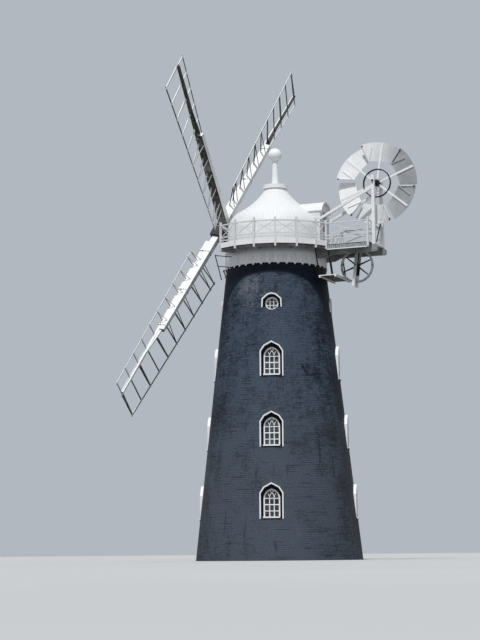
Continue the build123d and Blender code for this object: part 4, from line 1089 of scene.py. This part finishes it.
board_bars = (0, 2, 4, 6, 8)
board_root_halves = (0.068, 0.068, 0.060, 0.045, 0.040)
board_end_halves = (0.034, 0.034, 0.030, 0.028, 0.028)
board_root, board_end = -0.06, -1.40
board_half = 0.0178
wedge_end = stock_end + 1.35
wedge_half = 0.032
wedge = [(stock_end, -0.105), (wedge_end, -0.006), (wedge_end, 0.004), (stock_end, 0.004)]
stock_root_half, stock_half_loss = 0.14, 0.05
stock_root_depth, stock_depth_loss = 0.30, 0.10
strap_thickness = 0.012
bolt_reaches = (1.2, 3.6, 5.75)
sail_verts, sail_faces = [], []
bolt_verts, bolt_faces = [], []
for k in range(4):
    for bar, root_half, end_half in zip(board_bars, board_root_halves, board_end_halves):
        middle = sail_reach - bar_pitch * bar
        outline = [(middle - root_half, board_root), (middle - end_half, board_end),
                   (middle + end_half, board_end), (middle + root_half, board_root)]
        sheets = []
        for proud in (board_half, -board_half):
            sheets.append([on_bar(k, middle, a, proud) + (on_sail(k, r, 0, 0) - on_sail(k, middle, 0, 0))
                           for r, a in outline])
        add_prism(sail_verts, sail_faces, *sheets)
    add_prism(sail_verts, sail_faces, [on_sail(k, r, -wedge_half, z) for r, z in wedge],
              [on_sail(k, r, wedge_half, z) for r, z in wedge])
    for reach in bolt_reaches:
        share = reach / stock_end
        stock_half = stock_root_half - stock_half_loss * share + strap_thickness
        stock_depth = stock_root_depth - stock_depth_loss * share
        for side in (-1, 1):
            for front in (-0.25 * stock_depth, -0.75 * stock_depth, 0.06):
                add_stud(bolt_verts, bolt_faces, on_sail(k, reach, side * (stock_half - 0.001), front),
                         on_sail(k, reach, side, front) - on_sail(k, reach, 0, front), 0.017, 0.014)
new_piece("sail_bar_boards", sail_verts, sail_faces, sail_white, "sails")
new_piece("sail_bolts", bolt_verts, bolt_faces, black_iron, "sails")
shaft_iron = black_paint("shaft_iron", (0.020, 0.020, 0.021, 1), (0.12, 0.055, 0.028, 1), 0.7, 0.5)
dress(shaft_iron, "windshaft")


# The fan's six arms are bolted into a black iron hub and stiffened by an iron ring on each side.
# Each arm holds one broad vane of thin board, painted white, and a rod braces its outer corner.
fan_middle = Vector((4.73, 0, 16.136))
fan_turn = radians(20.5)
fan_vanes = 6
vane_pitch = radians(10)


def vane_paint(name):
    """White paint on thin boards, greyed on the vanes toward the tail side as painted shade."""
    material, tree, shader, place = new_finish(name, specular=0.3)
    x, y, z = axes(tree, from_middle(tree, place, fan_middle))
    slow = cloud(tree, place, 1.6, 5.0, 0.6)
    fine = cloud(tree, place, 11.0, 7.0, 0.7)
    grey = plus(tree, fade(tree, x, -0.45, 1.25, 0.0, 0.66), fade(tree, slow, 0.3, 0.75, -0.08, 0.14))
    thin = fade(tree, fine, 0.48, 0.72, 0.0, 0.25)
    paint = blend(tree, thin, (0.87, 0.875, 0.88, 1), (0.45, 0.46, 0.46, 1))
    colour = blend(tree, grey, paint, (0.185, 0.205, 0.230, 1))
    wire_up(tree, shader, colour, fine, 0.0008, fade(tree, fine, 0.3, 0.7, 0.42, 0.65))
    return material


def on_vane(k, out, aside, proud):
    """A point of vane k by its distance out along the arm, across the vane and off its near side."""
    a = aside * cos(vane_pitch) - proud * sin(vane_pitch)
    b = aside * sin(vane_pitch) + proud * cos(vane_pitch)
    turn = fan_turn + 2 * pi * k / fan_vanes
    return cap_point(fan_middle.x + out * cos(turn) - a * sin(turn), -b,
                     fan_middle.z + out * sin(turn) + a * cos(turn))


dress(black_iron, "fan_axle", "fan_ring")
dress(white_timber, "fan_arms")
dress(vane_paint("vane_paint"), "fan_vanes")
rod_start, rod_end = Vector((0.905, 0.468, 0.027)), Vector((1.535, 0.882, 0.027))
rod_sides = 8
rod_radius = 0.014
off_vane = Vector((0, 0, 1))
beside_rod = (rod_end - rod_start).normalized().cross(off_vane)
rod_round = []
for s in range(rod_sides):
    turn = 2 * pi * s / rod_sides
    rod_round.append((beside_rod * cos(turn) + off_vane * sin(turn)) * rod_radius)
knob_place = (1.522, 0.872)
arm_bolts = (1.02, 1.38, 1.66)
arm_front = 0.0295
rod_verts, rod_faces = [], []
knob_verts, knob_faces = [], []
for k in range(fan_vanes):
    rings = [[on_vane(k, *(point + out)) for out in rod_round] for point in (rod_start, rod_end)]
    kept = (knob_verts, knob_faces) if k == 0 else (rod_verts, rod_faces)
    add_prism(*kept, rings[1][::-1], rings[0][::-1])
    knob = on_vane(k, *knob_place, 0.010)
    off = on_vane(k, *knob_place, 1.0) - knob
    add_stud(knob_verts, knob_faces, knob, off, 0.034, 0.056, 10)
    for out in arm_bolts:
        arm = on_vane(k, out, 0, 0) - cap_point(0, arm_front, 0)
        add_stud(rod_verts, rod_faces, arm, cap_point(0, -1, 0), 0.016, 0.010)
new_piece("vane_rods", rod_verts, rod_faces, white_timber, "fan")
new_piece("vane_knobs", knob_verts, knob_faces, black_iron, "fan")


# The mill stands on a plain pale floor in even daylight. A high soft sun lights its front, and
# the camera looks up at it from low down in front.
def floor_finish():
    """Pale to the eye, but a darker ground to what stands on it, so undersides stay in shade."""
    material, tree, shader, place = new_finish("pale_floor", 0.9, 0.1)
    soft = cloud(tree, place, 0.08, 3.0, 0.5)
    pale = blend(tree, soft, (0.50, 0.505, 0.50, 1), (0.56, 0.565, 0.56, 1))
    eye = add(tree, "LightPath").outputs["Is Camera Ray"]
    wire_up(tree, shader, blend(tree, eye, (0.27, 0.27, 0.26, 1), pale))
    return material


floor_half = 400
floor_mesh = bpy.data.meshes.new("floor")
floor_mesh.from_pydata([(-floor_half, -floor_half, 0), (floor_half, -floor_half, 0),
                        (floor_half, floor_half, 0), (-floor_half, floor_half, 0)], [], [(0, 1, 2, 3)])
floor_mesh.materials.append(floor_finish())
ground = bpy.data.objects.new("floor", floor_mesh)
bpy.context.scene.collection.objects.link(ground)

daylight = bpy.data.worlds.new("daylight")
bpy.context.scene.world = daylight
daylight.use_nodes = True
light_tree = daylight.node_tree
even = light_tree.nodes["Background"]
even.inputs["Color"].default_value = (0.86, 0.93, 1.0, 1)
even.inputs["Strength"].default_value = 0.50
seen = add(light_tree, "Background", {"Color": (0.44, 0.48, 0.53, 1), "Strength": 1.0})
rays = add(light_tree, "LightPath")
straight = work_out(light_tree, "MAXIMUM", rays.outputs["Is Camera Ray"], rays.outputs["Is Glossy Ray"])
straight = work_out(light_tree, "MAXIMUM", straight, rays.outputs["Is Transmission Ray"])
either = add(light_tree, "MixShader", {0: straight, 1: even.outputs[0], 2: seen.outputs[0]})
light_tree.links.new(either.outputs[0], light_tree.nodes["World Output"].inputs["Surface"])

sun_data = bpy.data.lights.new("sun", "SUN")
sun_way = Vector((-0.085, -0.522, 0.848))
sun_data.energy = 2.60
sun_data.angle = radians(3)
sun = bpy.data.objects.new("sun", sun_data)
bpy.context.scene.collection.objects.link(sun)
sun.rotation_mode = "QUATERNION"
sun.rotation_quaternion = sun_way.to_track_quat("Z", "Y")

camera_data = bpy.data.cameras.new("camera")
camera_data.sensor_fit = "VERTICAL"
camera_data.sensor_height = 32
camera_data.sensor_width = 32
camera_data.lens = 86.889
camera_data.clip_end = 1000
camera = bpy.data.objects.new("camera", camera_data)
bpy.context.scene.collection.objects.link(camera)
camera_heading, camera_rise, camera_roll = 6.4839, 7.658, -0.4988
camera.location = (6.9287, -75.2669, 0.3)
camera.rotation_mode = "QUATERNION"
camera.rotation_quaternion = (Matrix.Rotation(radians(camera_heading), 4, "Z")
                              @ Matrix.Rotation(radians(90 + camera_rise), 4, "X")
                              @ Matrix.Rotation(radians(camera_roll), 4, "Z")).to_quaternion()
bpy.context.scene.camera = camera
bpy.context.scene.view_settings.view_transform = "Standard"
